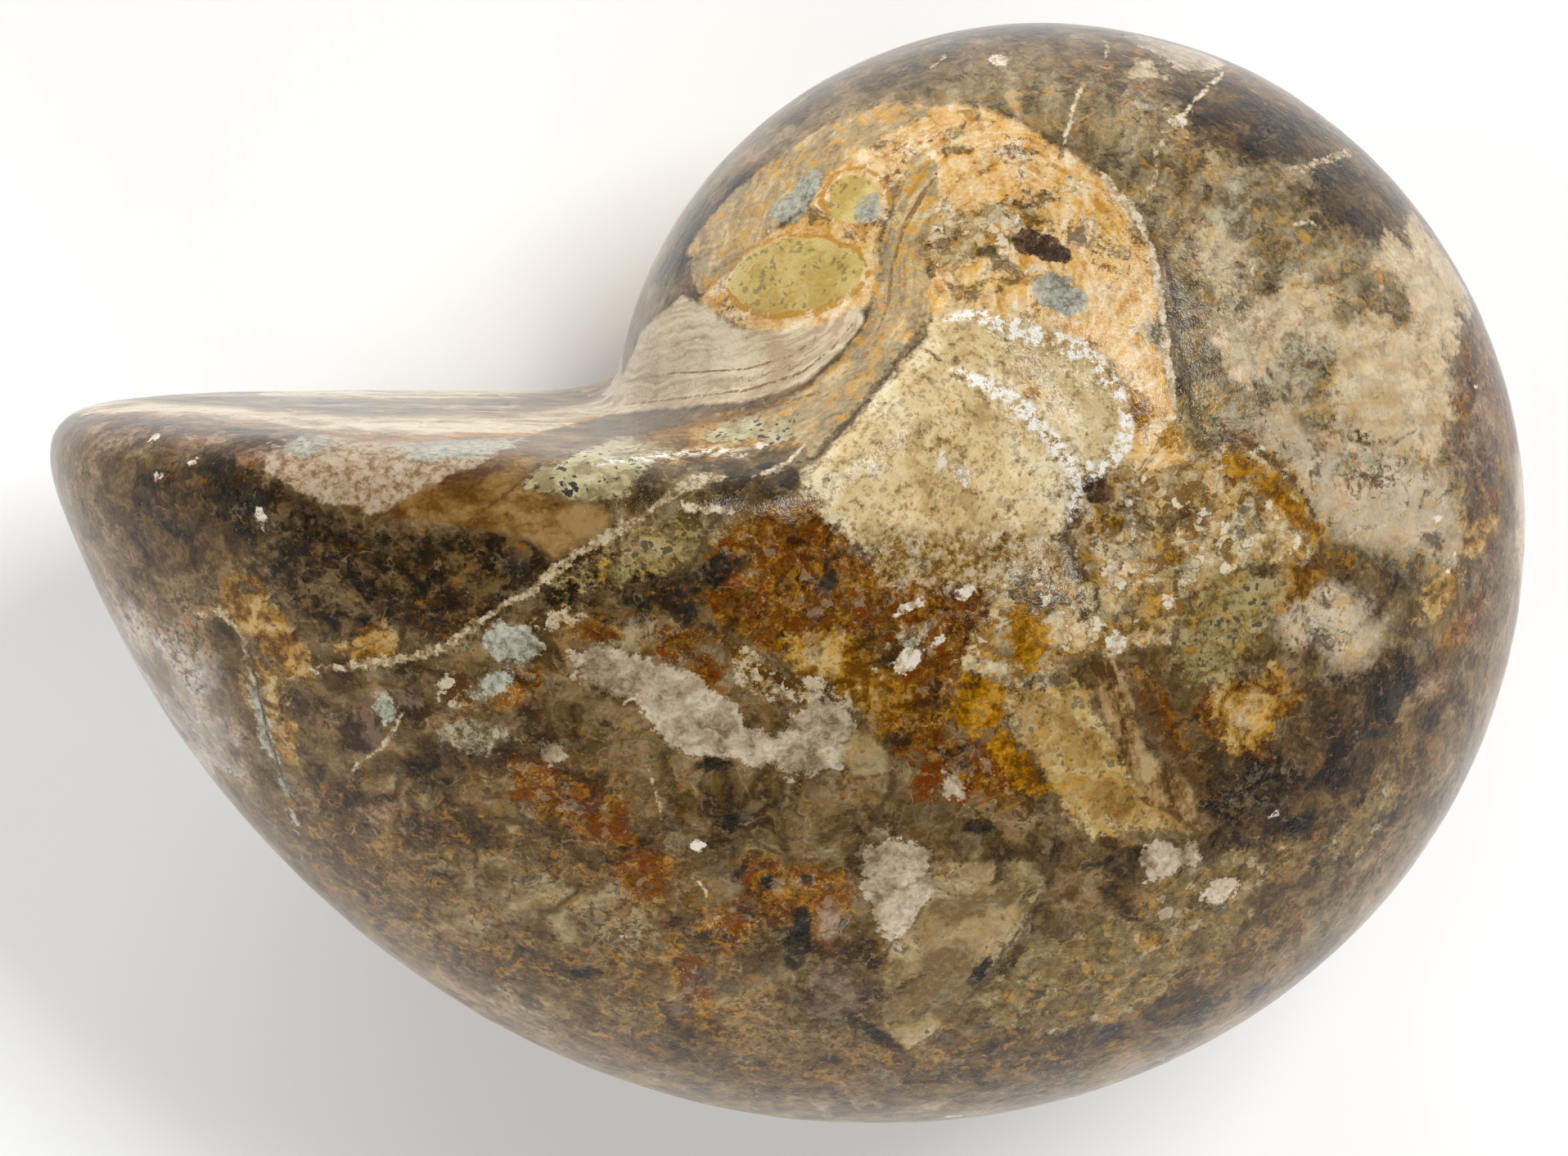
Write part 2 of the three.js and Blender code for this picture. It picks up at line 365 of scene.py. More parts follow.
            [(1, 1), (3.6, 3.2), (6, 3), (10, 3.6), (14, 5.4), (18.5, 2.4), (20, -1), (19, -4.4),
             (14, -4.6), (9, -6), (7.4, -10), (4.6, -9.8), (2.4, -10.4), (1.2, -7), (0.6, -3)],
            [(-5.5, -5), (-1.5, -4), (0.6, -5), (1.2, -10), (0, -11.4), (-4.4, -11.6), (-7.6, -10.4)],
            [(-11.4, 20), (-7.6, 20.2), (-4, 20.8), (-0.5, 22.4), (-1.5, 24.8), (-4.5, 25.4), (-7, 24.8),
             (-10.4, 25), (-12.2, 23)],
        ],
        "far": [(4, -8, 8, 6, 0), (-30, 12, 7, 3, 20)],
    },
    "rosyEdge": {
        "shades": [(64, 44, 30), (98, 76, 56), (124, 100, 80), (150, 130, 110)],
        "drive": {"mottle": 0.6, "streak": 0.4}, "ragged": 1, "soft": 0.8,
        "near": [
            [(-79, 7), (-70, 7.2), (-60, 6.7), (-57.6, 6), (-58.6, 4.6), (-62, 4.6), (-68, 5.6),
             (-76, 4.4)],
            [(34, 5), (38, 6), (41, 9), (42.5, 3), (40.6, -0.6), (37, 0.4), (34, 1.4)],
            (40.4, -6, 1.6, 1.4, 0), (32, -16.4, 3, 1.4, 10), (-17.4, -31, 1, 2, 0),
            (-52, -22.6, 2.2, 1.4, 30),
        ],
        "far": [],
    },
    "creamHill": {
        "shades": [(166, 140, 100), (196, 172, 128), (214, 193, 152), (228, 214, 180)],
        "drive": {"cloud": 0.35, "mottle": 0.25, "grain": 0.2, "bands": 0.05}, "ragged": 1.4,
        "soft": 1.2, "crumbs": 2.6, "dots": 0.35,
        "near": [
            [(-18, 2.8), (-15.2, 6.6), (-13, 10), (-10.6, 12.8), (-10.2, 15.4), (-7.4, 16.4), (-4.4, 15),
             (0, 13.4), (3.2, 11), (4.4, 8), (4.4, 5), (3.4, 3.2), (1, 1.4), (0, -1), (-2, -3),
             (-4.5, -1.2), (-7.5, -3.2), (-10.5, -1), (-13.5, -2), (-16, 0.4)],
        ],
        "far": [(-4, 8, 9, 7, 30)],
    },
    "sugar": {
        "shades": [(104, 74, 36), (142, 116, 72), (166, 144, 106), (194, 178, 150)],
        "drive": {"grain": 0.7, "mottle": 0.3}, "ragged": 1.6, "soft": 0.9, "crumbs": 1.4, "specks": 0.7,
        "chips": 0.6,
        "near": [
            [(-14, -0.4), (-8, -1), (-2, -1.4), (-0.4, -3), (-0.6, -5.4), (-4, -5.8), (-8, -4.6),
             (-12.4, -4.4)],
            [(-4.6, -11.8), (-2, -11.4), (-1.4, -13), (-2.6, -14.8), (-4.4, -14.6)],
        ],
        "far": [(6, 0, 5, 4, 0)],
    },
    "greyGreen": {
        "shades": [(100, 88, 66), (136, 126, 104), (162, 154, 132), (182, 172, 148)],
        "drive": {"grain": 0.4, "mottle": 0.6}, "ragged": 1.8, "soft": 0.5, "crumbs": 0.6,
        "near": [
            (21.5, 11.5, 2, 1, 40),
            [(15.4, 26.8), (17.4, 27), (18.2, 25.8), (17.4, 23.6), (16.6, 21), (14.4, 21.8), (13.6, 23),
             (15.4, 24.4)],
            [(17.4, 11.4), (19.6, 13.8), (21.4, 12.4), (20.6, 9.6), (20, 7), (17.6, 7), (16, 9.4)],
            (23.4, 2.6, 2.6, 0.9, 10), (7.6, 13.4, 0.9, 1.6, 0), (-43.6, -15.8, 2.6, 1, 0),
        ],
        "far": [(16, 22, 5, 3, 0)],
    },
    # painted sheen: a pale grey patch by the rim at the left end, standing for the reflection of the white
    # surroundings there
    "paintedSheen": {
        "shades": [(118, 108, 97), (140, 130, 119), (160, 151, 141), (184, 177, 168)],
        "drive": {"cloud": 0.8, "mottle": 0.2}, "ragged": 3.5, "soft": 2.4,
        "near": [[(-76, -8), (-70, -10), (-66, -12), (-64.5, -17), (-66, -22), (-72, -24), (-80, -14)]],
        "far": [(-66, -8, 6, 8, 0)],
    },
    "goldGrit": {
        "shades": [(76, 61, 38), (100, 84, 54), (118, 102, 69), (144, 130, 96)],
        "drive": {"grain": 0.35, "mottle": 0.35}, "ragged": 2.6, "soft": 0.8, "crumbs": 1.6,
        "chips": 0.3, "nuggets": 0.35, "specks": 0.3,
        "near": [
            (3, -38, 8.5, 5.5, 10), (11.5, -32.5, 5, 3.2, -35), (16, -29, 4, 2, 10),
            (27, -27, 4, 2.4, 45),
        ],
        "far": [(4, -30, 9, 5, 20), (-50, 2, 6, 3, 0)],
        "belt": [(-14, -3, 5, 4, 0), (-112, -8, 6, 3, 0), (74, -4, 5, 3, 10)],
    },
    "offWhite": {
        "shades": [(110, 94, 74), (148, 132, 111), (174, 159, 138), (194, 181, 161)],
        "drive": {"cloud": 0.3, "mottle": 0.5, "grain": 0.2}, "ragged": 2, "soft": 0.18, "specks": 0.2,
        "dots": 0.3, "crumbs": 0.8, "depth": 1.4,
        "near": [
            (-31.5, -10.3, 4, 1.9, -12), (-27, -13.2, 4.6, 2.7, -35), (-22.5, -15.6, 3, 1.6, -10),
            (-18, -15, 3.6, 2.5, 50),
            [(-14.5, -23.9), (-12.8, -22.9), (-11.6, -23.6), (-10.3, -24.2), (-10, -26), (-10, -28.5),
             (-11.3, -30.8), (-12.8, -32.4), (-14, -31.4), (-14.6, -29.5), (-15, -27), (-15.3, -25.4)],
            [(5.8, -26.5), (6.5, -25.8), (8.3, -25.4), (10.3, -26), (11.3, -27.5), (9.5, -28.2),
             (8, -28.6), (6.6, -28.5)],
            [(11.6, 43.6), (14, 44.2), (19.6, 42.2), (22, 40.2), (20, 38.9), (18, 38.5), (16, 38.1),
             (14.5, 39.5)],
            (-8.6, -19.2, 0.9, 1.1, 20), (13.2, -30.8, 1.4, 1.2, 30), (-37.2, -16.8, 0.95, 0.95, 0),
        ],
        "far": [(-14, -24, 6, 4, 20), (20, 14, 5, 3, 60), (-44, -14, 5, 3, 0)],
        "belt": [
            (-46, -7, 2.4, 1.4, 20), (-101, -3, 1.8, 1.1, 10), (66, 6, 1.6, 0.9, 0), (0, -12, 2, 1.2, 0),
        ],
    },
    "mealy": {
        "shades": [(72, 48, 24), (112, 88, 56), (146, 128, 98), (184, 172, 148)],
        "drive": {"cells": 0.25, "grain": 0.75}, "ragged": 0.9, "soft": 0.25, "crumbs": 0.8,
        "specks": 0.5,
        "near": [
            [(-24.2, -7.6), (-22.6, -7.8), (-20.8, -9.4), (-19.4, -10.6), (-17, -10.2), (-16.4, -11.4),
             (-18.5, -12.3), (-21, -12), (-23, -11.3), (-23.4, -9.8)],
            [(-46, -11.6), (-44.6, -10.4), (-43.4, -11), (-43.6, -12.8), (-45, -13.6), (-46.2, -12.8)],
            (-12, -9, 2.2, 0.9, 40), (-36, -6.4, 1.8, 0.7, 10),
        ],
        "far": [(-26, -12, 4, 2, 20)],
    },
    "beigeFlag": {
        "shades": [(104, 86, 58), (136, 118, 86), (152, 134, 102), (168, 152, 120)],
        "drive": {"cloud": 0.7, "mottle": 0.3}, "ragged": 0.8, "soft": 0.35,
        "near": [
            [(-9.9, -25.4), (-6, -25.8), (-2.5, -25.8), (-1.4, -28), (-2.8, -32), (-4, -34.5),
             (-6, -37.5), (-9, -42.5), (-11.3, -44.4), (-13.4, -41), (-13.5, -37), (-12.9, -33),
             (-11, -31), (-10, -28)],
            [(-16.6, -16.3), (-15, -14.2), (-13.8, -15.5), (-13, -17), (-13.3, -17.8), (-15.5, -18.1)],
        ],
        "far": [],
    },
    "maroon": {
        "shades": [(54, 40, 31), (80, 63, 50), (106, 88, 72)],
        "drive": {"mottle": 1}, "ragged": 0.8, "soft": 0.15, "crumbs": 0.5,
        "near": [
            [(-53.4, -13.6), (-51.2, -13), (-50.7, -14.5), (-51.5, -17.3), (-53, -18.2), (-54.2, -17.7),
             (-54, -16.5), (-55.2, -16.2), (-53.7, -15.2)],
            [(-19.5, -35.2), (-17.5, -34), (-15.5, -35.5), (-14, -37), (-14, -39.5), (-16, -40.5),
             (-19.5, -40.3)],
            [(1.2, 2.2), (2.8, 2.4), (3.6, 1.3), (2.8, 0.2), (1.5, 0.6)],
            [(-3.6, 22), (-2, 23), (0.2, 21.8), (1.6, 20.3), (0.8, 19.4), (-1, 19.9), (-3, 20.4)],
            (-48.6, -13.2, 1.6, 1, 10), (-30, -40, 1.4, 0.8, 0), (24.6, 5, 1.4, 0.35, -20),
        ],
        "far": [(-4, -6, 3, 2, 30)],
    },
    "inkBlack": {
        "shades": [(20, 18, 14), (36, 32, 25), (58, 50, 38)],
        "drive": {"mottle": 0.6, "grain": 0.4}, "ragged": 0.9, "soft": 0.3, "crumbs": 0.5,
        "near": [
            (-26.5, -3.8, 5, 0.8, 16), (-24, -2.8, 1.4, 1, 40), (27, -17.5, 2.6, 1.8, 50),
            (29, -15.5, 1.4, 0.8, 0), (32.4, -19.5, 1.4, 1, 10),
            [(-20.8, -29), (-19.3, -29), (-19, -31), (-19.1, -33.5), (-19.8, -35.3), (-20.9, -35),
             (-21.2, -32.8), (-20.5, -31)],
            [(-15.5, -40.3), (-14.3, -40.8), (-13, -42.5), (-11.3, -44.3), (-12, -44.6), (-14, -43),
             (-15.3, -41.5)],
            [(-4.9, -34.2), (-5.8, -34.5), (-7, -36.5), (-6.7, -37.8), (-5.8, -37), (-5, -35.2)],
            (-39, -2.4, 0.9, 1.2, 20), (-46, -2.1, 0.8, 0.5, 0), (-35.8, -4.3, 0.9, 0.6, -20),
            (-26.6, -5.6, 0.8, 1, 20), (-24.9, -6.9, 0.55, 0.5, 0), (-27.2, -24, 0.5, 0.3, 0),
            (-24.2, -26.4, 0.5, 1.2, -20), (-22.2, -27, 0.6, 0.7, 0), (-19.2, -26.8, 0.6, 0.5, 0),
            (-24.6, -21.8, 0.9, 0.7, 0), (-36.6, -36.6, 1.4, 0.7, 20), (-25.6, -17.2, 1.2, 0.7, 0),
            (-62, 2.6, 3.4, 1.7, -25), (-69, 3, 1.6, 0.9, 0), (-6.6, -22.6, 1.1, 0.6, 0),
            (-0.6, -25.6, 0.5, 1.4, 0),
        ],
        "far": [(-20, -30, 1.2, 3, 0), (26, -14, 2, 1.6, 0), (-38, -6, 1.4, 1, 0)],
        "belt": [
            (-71, 7, 1, 0.6, 0), (-25, 3, 0.7, 1.1, 0), (95, 0, 1, 0.8, 0), (-88, -6, 0.8, 0.5, 30),
        ],
    },
    "khakiTongue": {
        "shades": [(118, 92, 52), (150, 124, 78), (168, 144, 98), (190, 170, 128)],
        "drive": {"cloud": 0.3, "mottle": 0.45, "grain": 0.25}, "ragged": 1.8, "soft": 0.5,
        "brick": 0.25, "nuggets": 0.35, "specks": 0.3, "crumbs": 1.3, "dots": 0.6,
        "near": [
            [(-4.5, -12.5), (1, -12.5), (3, -16), (5, -20), (7, -22), (10, -25), (6, -24), (2, -24.5),
             (0, -22), (-2, -18.5), (-4, -15.5)],
        ],
        "far": [(22, -26, 6, 3, 30)],
    },
    "pinkBand": {
        "shades": [(76, 54, 30), (120, 94, 62), (146, 120, 84), (166, 142, 108)],
        "drive": {"mottle": 0.5, "streak": 0.5}, "ragged": 0.6, "soft": 0.4,
        "near": [
            [(1.5, -10.8), (3.2, -10.2), (4.3, -12), (5, -15), (6, -18), (8.5, -20.2), (10, -21.5),
             (10.8, -25), (8, -23.3), (5.5, -20.8), (4, -18), (2.5, -14.5)],
        ],
        "far": [],
    },
    "deepAmber": {
        "shades": [(92, 58, 18), (128, 86, 30), (154, 110, 46), (182, 140, 76)],
        "drive": {"mottle": 0.5, "grain": 0.5}, "ragged": 1.6, "soft": 0.4, "dots": 0.4, "crumbs": 1.4,
        "near": [
            [(-8.1, -11.4), (-6.6, -10.8), (-5, -12), (-4.8, -13.6), (-5, -15), (-7, -15.4),
             (-8.5, -13.6)],
            [(-6.2, -15.4), (-4.6, -15.4), (-3, -17.6), (-1.3, -19.9), (-2.6, -20.4), (-4.4, -19),
             (-5.6, -17.4)],
            [(-4.4, -6.2), (-3, -6.2), (-1.8, -7.2), (-1.8, -10), (-2.6, -10.9), (-4.2, -10.6)],
            (-2.7, 8.6, 0.45, 0.5, 0), (17.5, -0.3, 5.4, 0.8, -42), (13, 2.8, 2.4, 0.7, -10),
            (7.4, 5.4, 1.3, 0.9, 20), (5.2, 7.4, 0.9, 1.6, 0),
        ],
        "far": [(8, -2, 3, 2, 0)],
    },
    "honey": {
        "shades": [(76, 50, 24), (104, 74, 40), (130, 100, 62), (152, 124, 86)],
        "drive": {"cloud": 0.6, "streak": 0.4}, "ragged": 0.5, "soft": 0.5,
        "near": [
            [(-49.4, 0.6), (-46.5, 2.6), (-43, 5), (-41.6, 6.4), (-37.6, 5.9), (-38.2, 4.2),
             (-38.8, 2.6), (-36.4, 2.2), (-33, 1.4), (-31.4, 0.6), (-32.6, -0.6), (-36, -2.2),
             (-38, -0.6), (-42, 0)],
        ],
        "far": [(-40, 2, 6, 2.4, 10)],
    },
    "granite": {
        "shades": [(122, 98, 72), (148, 126, 100), (164, 146, 122), (182, 166, 146)],
        "drive": {"grain": 0.75, "mottle": 0.25}, "ragged": 0.9, "soft": 0.25,
        "near": [
            [(-59.6, 5.2), (-56, 6.5), (-52, 6), (-45, 6), (-42, 5.8), (-41.4, 5), (-44, 3.6),
             (-46.6, 2.4), (-50.2, 0.6), (-52, 1.6), (-55, 1.9), (-57.6, 3), (-59.4, 4)],
        ],
        "far": [(-52, 4, 5, 2, 0)],
    },
    "fan": {
        "shades": [(172, 152, 124), (190, 172, 144), (203, 187, 160), (214, 200, 174)],
        "drive": {"cloud": 0.45, "flow": 0.45, "mottle": 0.1}, "ragged": 0.4, "soft": 0.3,
        "near": [
            [(-44, 8), (-41, 12), (-38.4, 16.2), (-33, 19.4), (-30.4, 18.2), (-27.4, 15.9), (-22.8, 15),
             (-18, 15.8), (-15.9, 17), (-15.6, 15.4), (-17.4, 12.8), (-20.6, 10.2), (-25, 9), (-31, 8.6),
             (-36, 8.3), (-39, 7.7)],
        ],
        "far": [[(-44, 8), (-41, 12), (-36, 15), (-28, 15), (-22, 12), (-26, 9), (-36, 8.3)]],
    },
    "silverBand": {
        "shades": [(122, 104, 78), (152, 132, 100), (178, 154, 112), (204, 182, 142)],
        "drive": {"mottle": 0.35, "grain": 0.3, "flow": 0.25}, "ragged": 0.8, "soft": 0.3, "steel": 0.5,
        "nuggets": 0.8, "crumbs": 0.5,
        "near": [
            [(-25, 7.4), (-20.6, 9.4), (-17, 12.4), (-15.2, 15.6), (-15, 20), (-13.6, 24), (-12, 27),
             (-11, 31), (-8.8, 29.6), (-9.4, 25), (-10.6, 21), (-10.2, 15.6), (-12.6, 11.4), (-15, 8),
             (-18.2, 4.6), (-20.8, 6.4), (-24, 6.2)],
            [(-33, 24), (-30, 27.4), (-27, 30), (-22, 33), (-17, 35.4), (-12, 36.6), (-8, 34.6),
             (-14, 32.4), (-19, 29), (-23, 25), (-28, 21), (-31, 19)],
        ],
        "far": [],
    },
    "chamber": {
        "shades": [(176, 152, 92), (190, 168, 110), (197, 178, 122), (204, 188, 136)],
        "drive": {"cloud": 0.7, "grain": 0.3}, "ragged": 0.5, "soft": 0.15, "dots": 0.45,
        "near": [(-21.9, 20.1, 6.3, 3.5, 3), (-16.4, 26.8, 2.5, 2.3, 0)],
        "far": [(-20, 16, 6, 4, 20), (-12, 24, 4, 3, 40)],
    },
    "oliveSpeckle": {
        "shades": [(94, 80, 50), (122, 106, 70), (144, 128, 90), (166, 150, 114)],
        "drive": {"mottle": 0.5, "grain": 0.5}, "ragged": 3, "soft": 0.8, "nuggets": 0.4, "crumbs": 1.8,
        "dots": 0.8,
        "near": [
            (-28.5, -1.4, 4, 1.6, 12), (-32, -2.8, 2.6, 1, 20),
            [(9.6, -6), (12.6, -4.8), (16.6, -5.6), (17.4, -7.6), (14.8, -9.6), (13, -12), (10.6, -13.4),
             (8.6, -12.4), (7.6, -10.4), (8.6, -8)],
            (9.8, 7, 1.4, 2.4, 0),
        ],
        "far": [(14, -12, 5, 4, 20)],
    },
    "dendrite": {
        "shades": [(132, 118, 88), (162, 150, 114), (178, 168, 134), (194, 186, 154)],
        "drive": {"cloud": 0.5, "mottle": 0.5}, "ragged": 1.2, "soft": 0.3, "crumbs": 0.8, "dots": 1,
        "near": [
            [(-38.4, 3), (-37.4, 4.1), (-36, 4.2), (-35.4, 6), (-32, 5.4), (-29.4, 5), (-30.4, 2.2),
             (-34, 1.9), (-37, 2.4)],
            [(-28, 5.8), (-26.6, 7.2), (-23.6, 7.5), (-23, 6), (-24.6, 5.4)],
            (-21.4, 6.4, 1.3, 1, 30),
        ],
        "far": [(-34, 4, 4, 2, 0)],
    },
    "bluish": {
        "shades": [(112, 106, 90), (140, 138, 124), (160, 158, 144), (182, 178, 160)],
        "drive": {"grain": 0.6, "mottle": 0.4}, "ragged": 1.1, "soft": 0.3, "crumbs": 1, "dots": 0.3,
        "near": [
            [(-42.4, -7.8), (-40.6, -6.8), (-38.4, -6.9), (-37.6, -8.6), (-39.2, -9.8), (-41.4, -9.9)],
            [(-43.6, -12.6), (-41.6, -12.6), (-40.2, -11.2), (-40.8, -10), (-42.4, -11.2)],
            (-56.9, 5.6, 1.9, 0.55, 0), (-45.6, 5.3, 3.4, 0.8, 0),
            [(-24.4, 26.2), (-22.4, 28.2), (-20.4, 30), (-19, 29.8), (-19.6, 28), (-20.8, 25.8),
             (-22.6, 25)],
            [(-16.6, 25), (-15, 24.2), (-13.9, 25.3), (-14.1, 27.4), (-15.4, 27), (-16.2, 26.2)],
            [(-2.2, 17.3), (-1.3, 18.7), (0, 19), (1.3, 17.8), (2, 16.2), (1.5, 15), (0.2, 14.9),
             (-1.2, 15.6)],
            (-62, -15.5, 0.7, 4, 4), (-61.2, -22, 0.35, 3, 4), (-50.6, -14, 0.8, 1.4, 10),
        ],
        "far": [(-10, 4, 3, 2, 0), (28, 2, 3, 2, 0)],
        "belt": [(-110, 3, 1.4, 0.7, 10), (28, 4, 1.2, 0.8, 0)],
    },
    "slateOval": {
        "shades": [(38, 32, 22), (60, 50, 38), (84, 72, 58)],
        "drive": {"mottle": 1}, "ragged": 0.4, "soft": 0.12,
        "near": [(-16.2, -3.9, 0.6, 1, -30), (-21.6, 3.4, 1.5, 0.5, 20), (-19, 2.8, 1, 0.7, -30)],
        "far": [],
    },
    # white chips in the stone; a few ovals on the right flank are painted highlights of the lamp instead
    "whiteChipsAndGlints": {
        "shades": [(168, 150, 122), (198, 184, 162), (222, 214, 202)],
        "drive": {"grain": 1}, "ragged": 0.5, "soft": 0.1, "depth": 1, "crumbs": 0.4,
        "near": [
            (-59.5, 0.3, 0.5, 0.9, 10), (-66, 4.3, 0.5, 0.4, 0), (-70.4, 6, 0.4, 0.35, 0),
            (-69, 3.1, 0.5, 0.3, 0), (-13, 3.2, 0.4, 0.5, 30), (-7.4, 2.8, 0.4, 1, 10),
            (-8.6, 3.6, 0.25, 0.5, 10), (-14.6, 2.9, 0.3, 0.6, 0), (-11, -5.8, 0.9, 0.35, 20),
            (-7.6, -5.3, 0.45, 0.5, 0), (-6.6, -5, 0.35, 0.4, 0), (-11.4, -9.6, 1.1, 0.7, 40),
            (-9.4, -8.4, 0.5, 0.3, 40), (3.4, -9.4, 0.7, 0.9, 0), (5, -1.8, 0.4, 0.7, 20),
            (7.2, -6.8, 0.35, 0.5, 0), (8.4, 0.4, 0.3, 0.8, 10), (5.6, 2.4, 0.3, 0.4, 0),
            (4.4, 0.5, 0.4, 0.35, 0), (2.2, 1.3, 0.3, 0.45, 0), (-27.2, -23.8, 0.6, 0.45, 0),
            # the first three ovals on the next line are painted highlights: small glints of the lamp on the
            # right flank
            (33.4, -6.6, 0.5, 0.35, 0), (34.8, -5.6, 0.4, 0.25, 0), (32, -2.4, 1, 0.35, 20),
            (39.4, 8.4, 0.4, 0.4, 0), (-33.5, -32.6, 0.3, 0.25, 0), (-1.7, 40, 0.9, 0.8, 0),
            (-22.6, 5.2, 0.5, 0.25, 0), (12.7, 32.3, 1, 0.6, 20), (-1.6, 19.2, 0.7, 0.35, 20),
            (-12.2, -23.3, 0.3, 0.3, 0), (17, -24.6, 0.6, 0.25, 20), (-24, 24.6, 0.4, 0.3, 20),
        ],
        "far": [(-8, 6, 0.8, 0.5, 20), (10, -4, 0.6, 0.9, 0), (22, -6, 0.9, 0.4, 10)],
        "belt": [(-58, 5, 0.7, 0.4, 10), (-96, 9, 0.6, 0.5, 0), (44, -1, 0.6, 0.4, 0)],
    },
}
print("kinds of stone:", len(kinds))
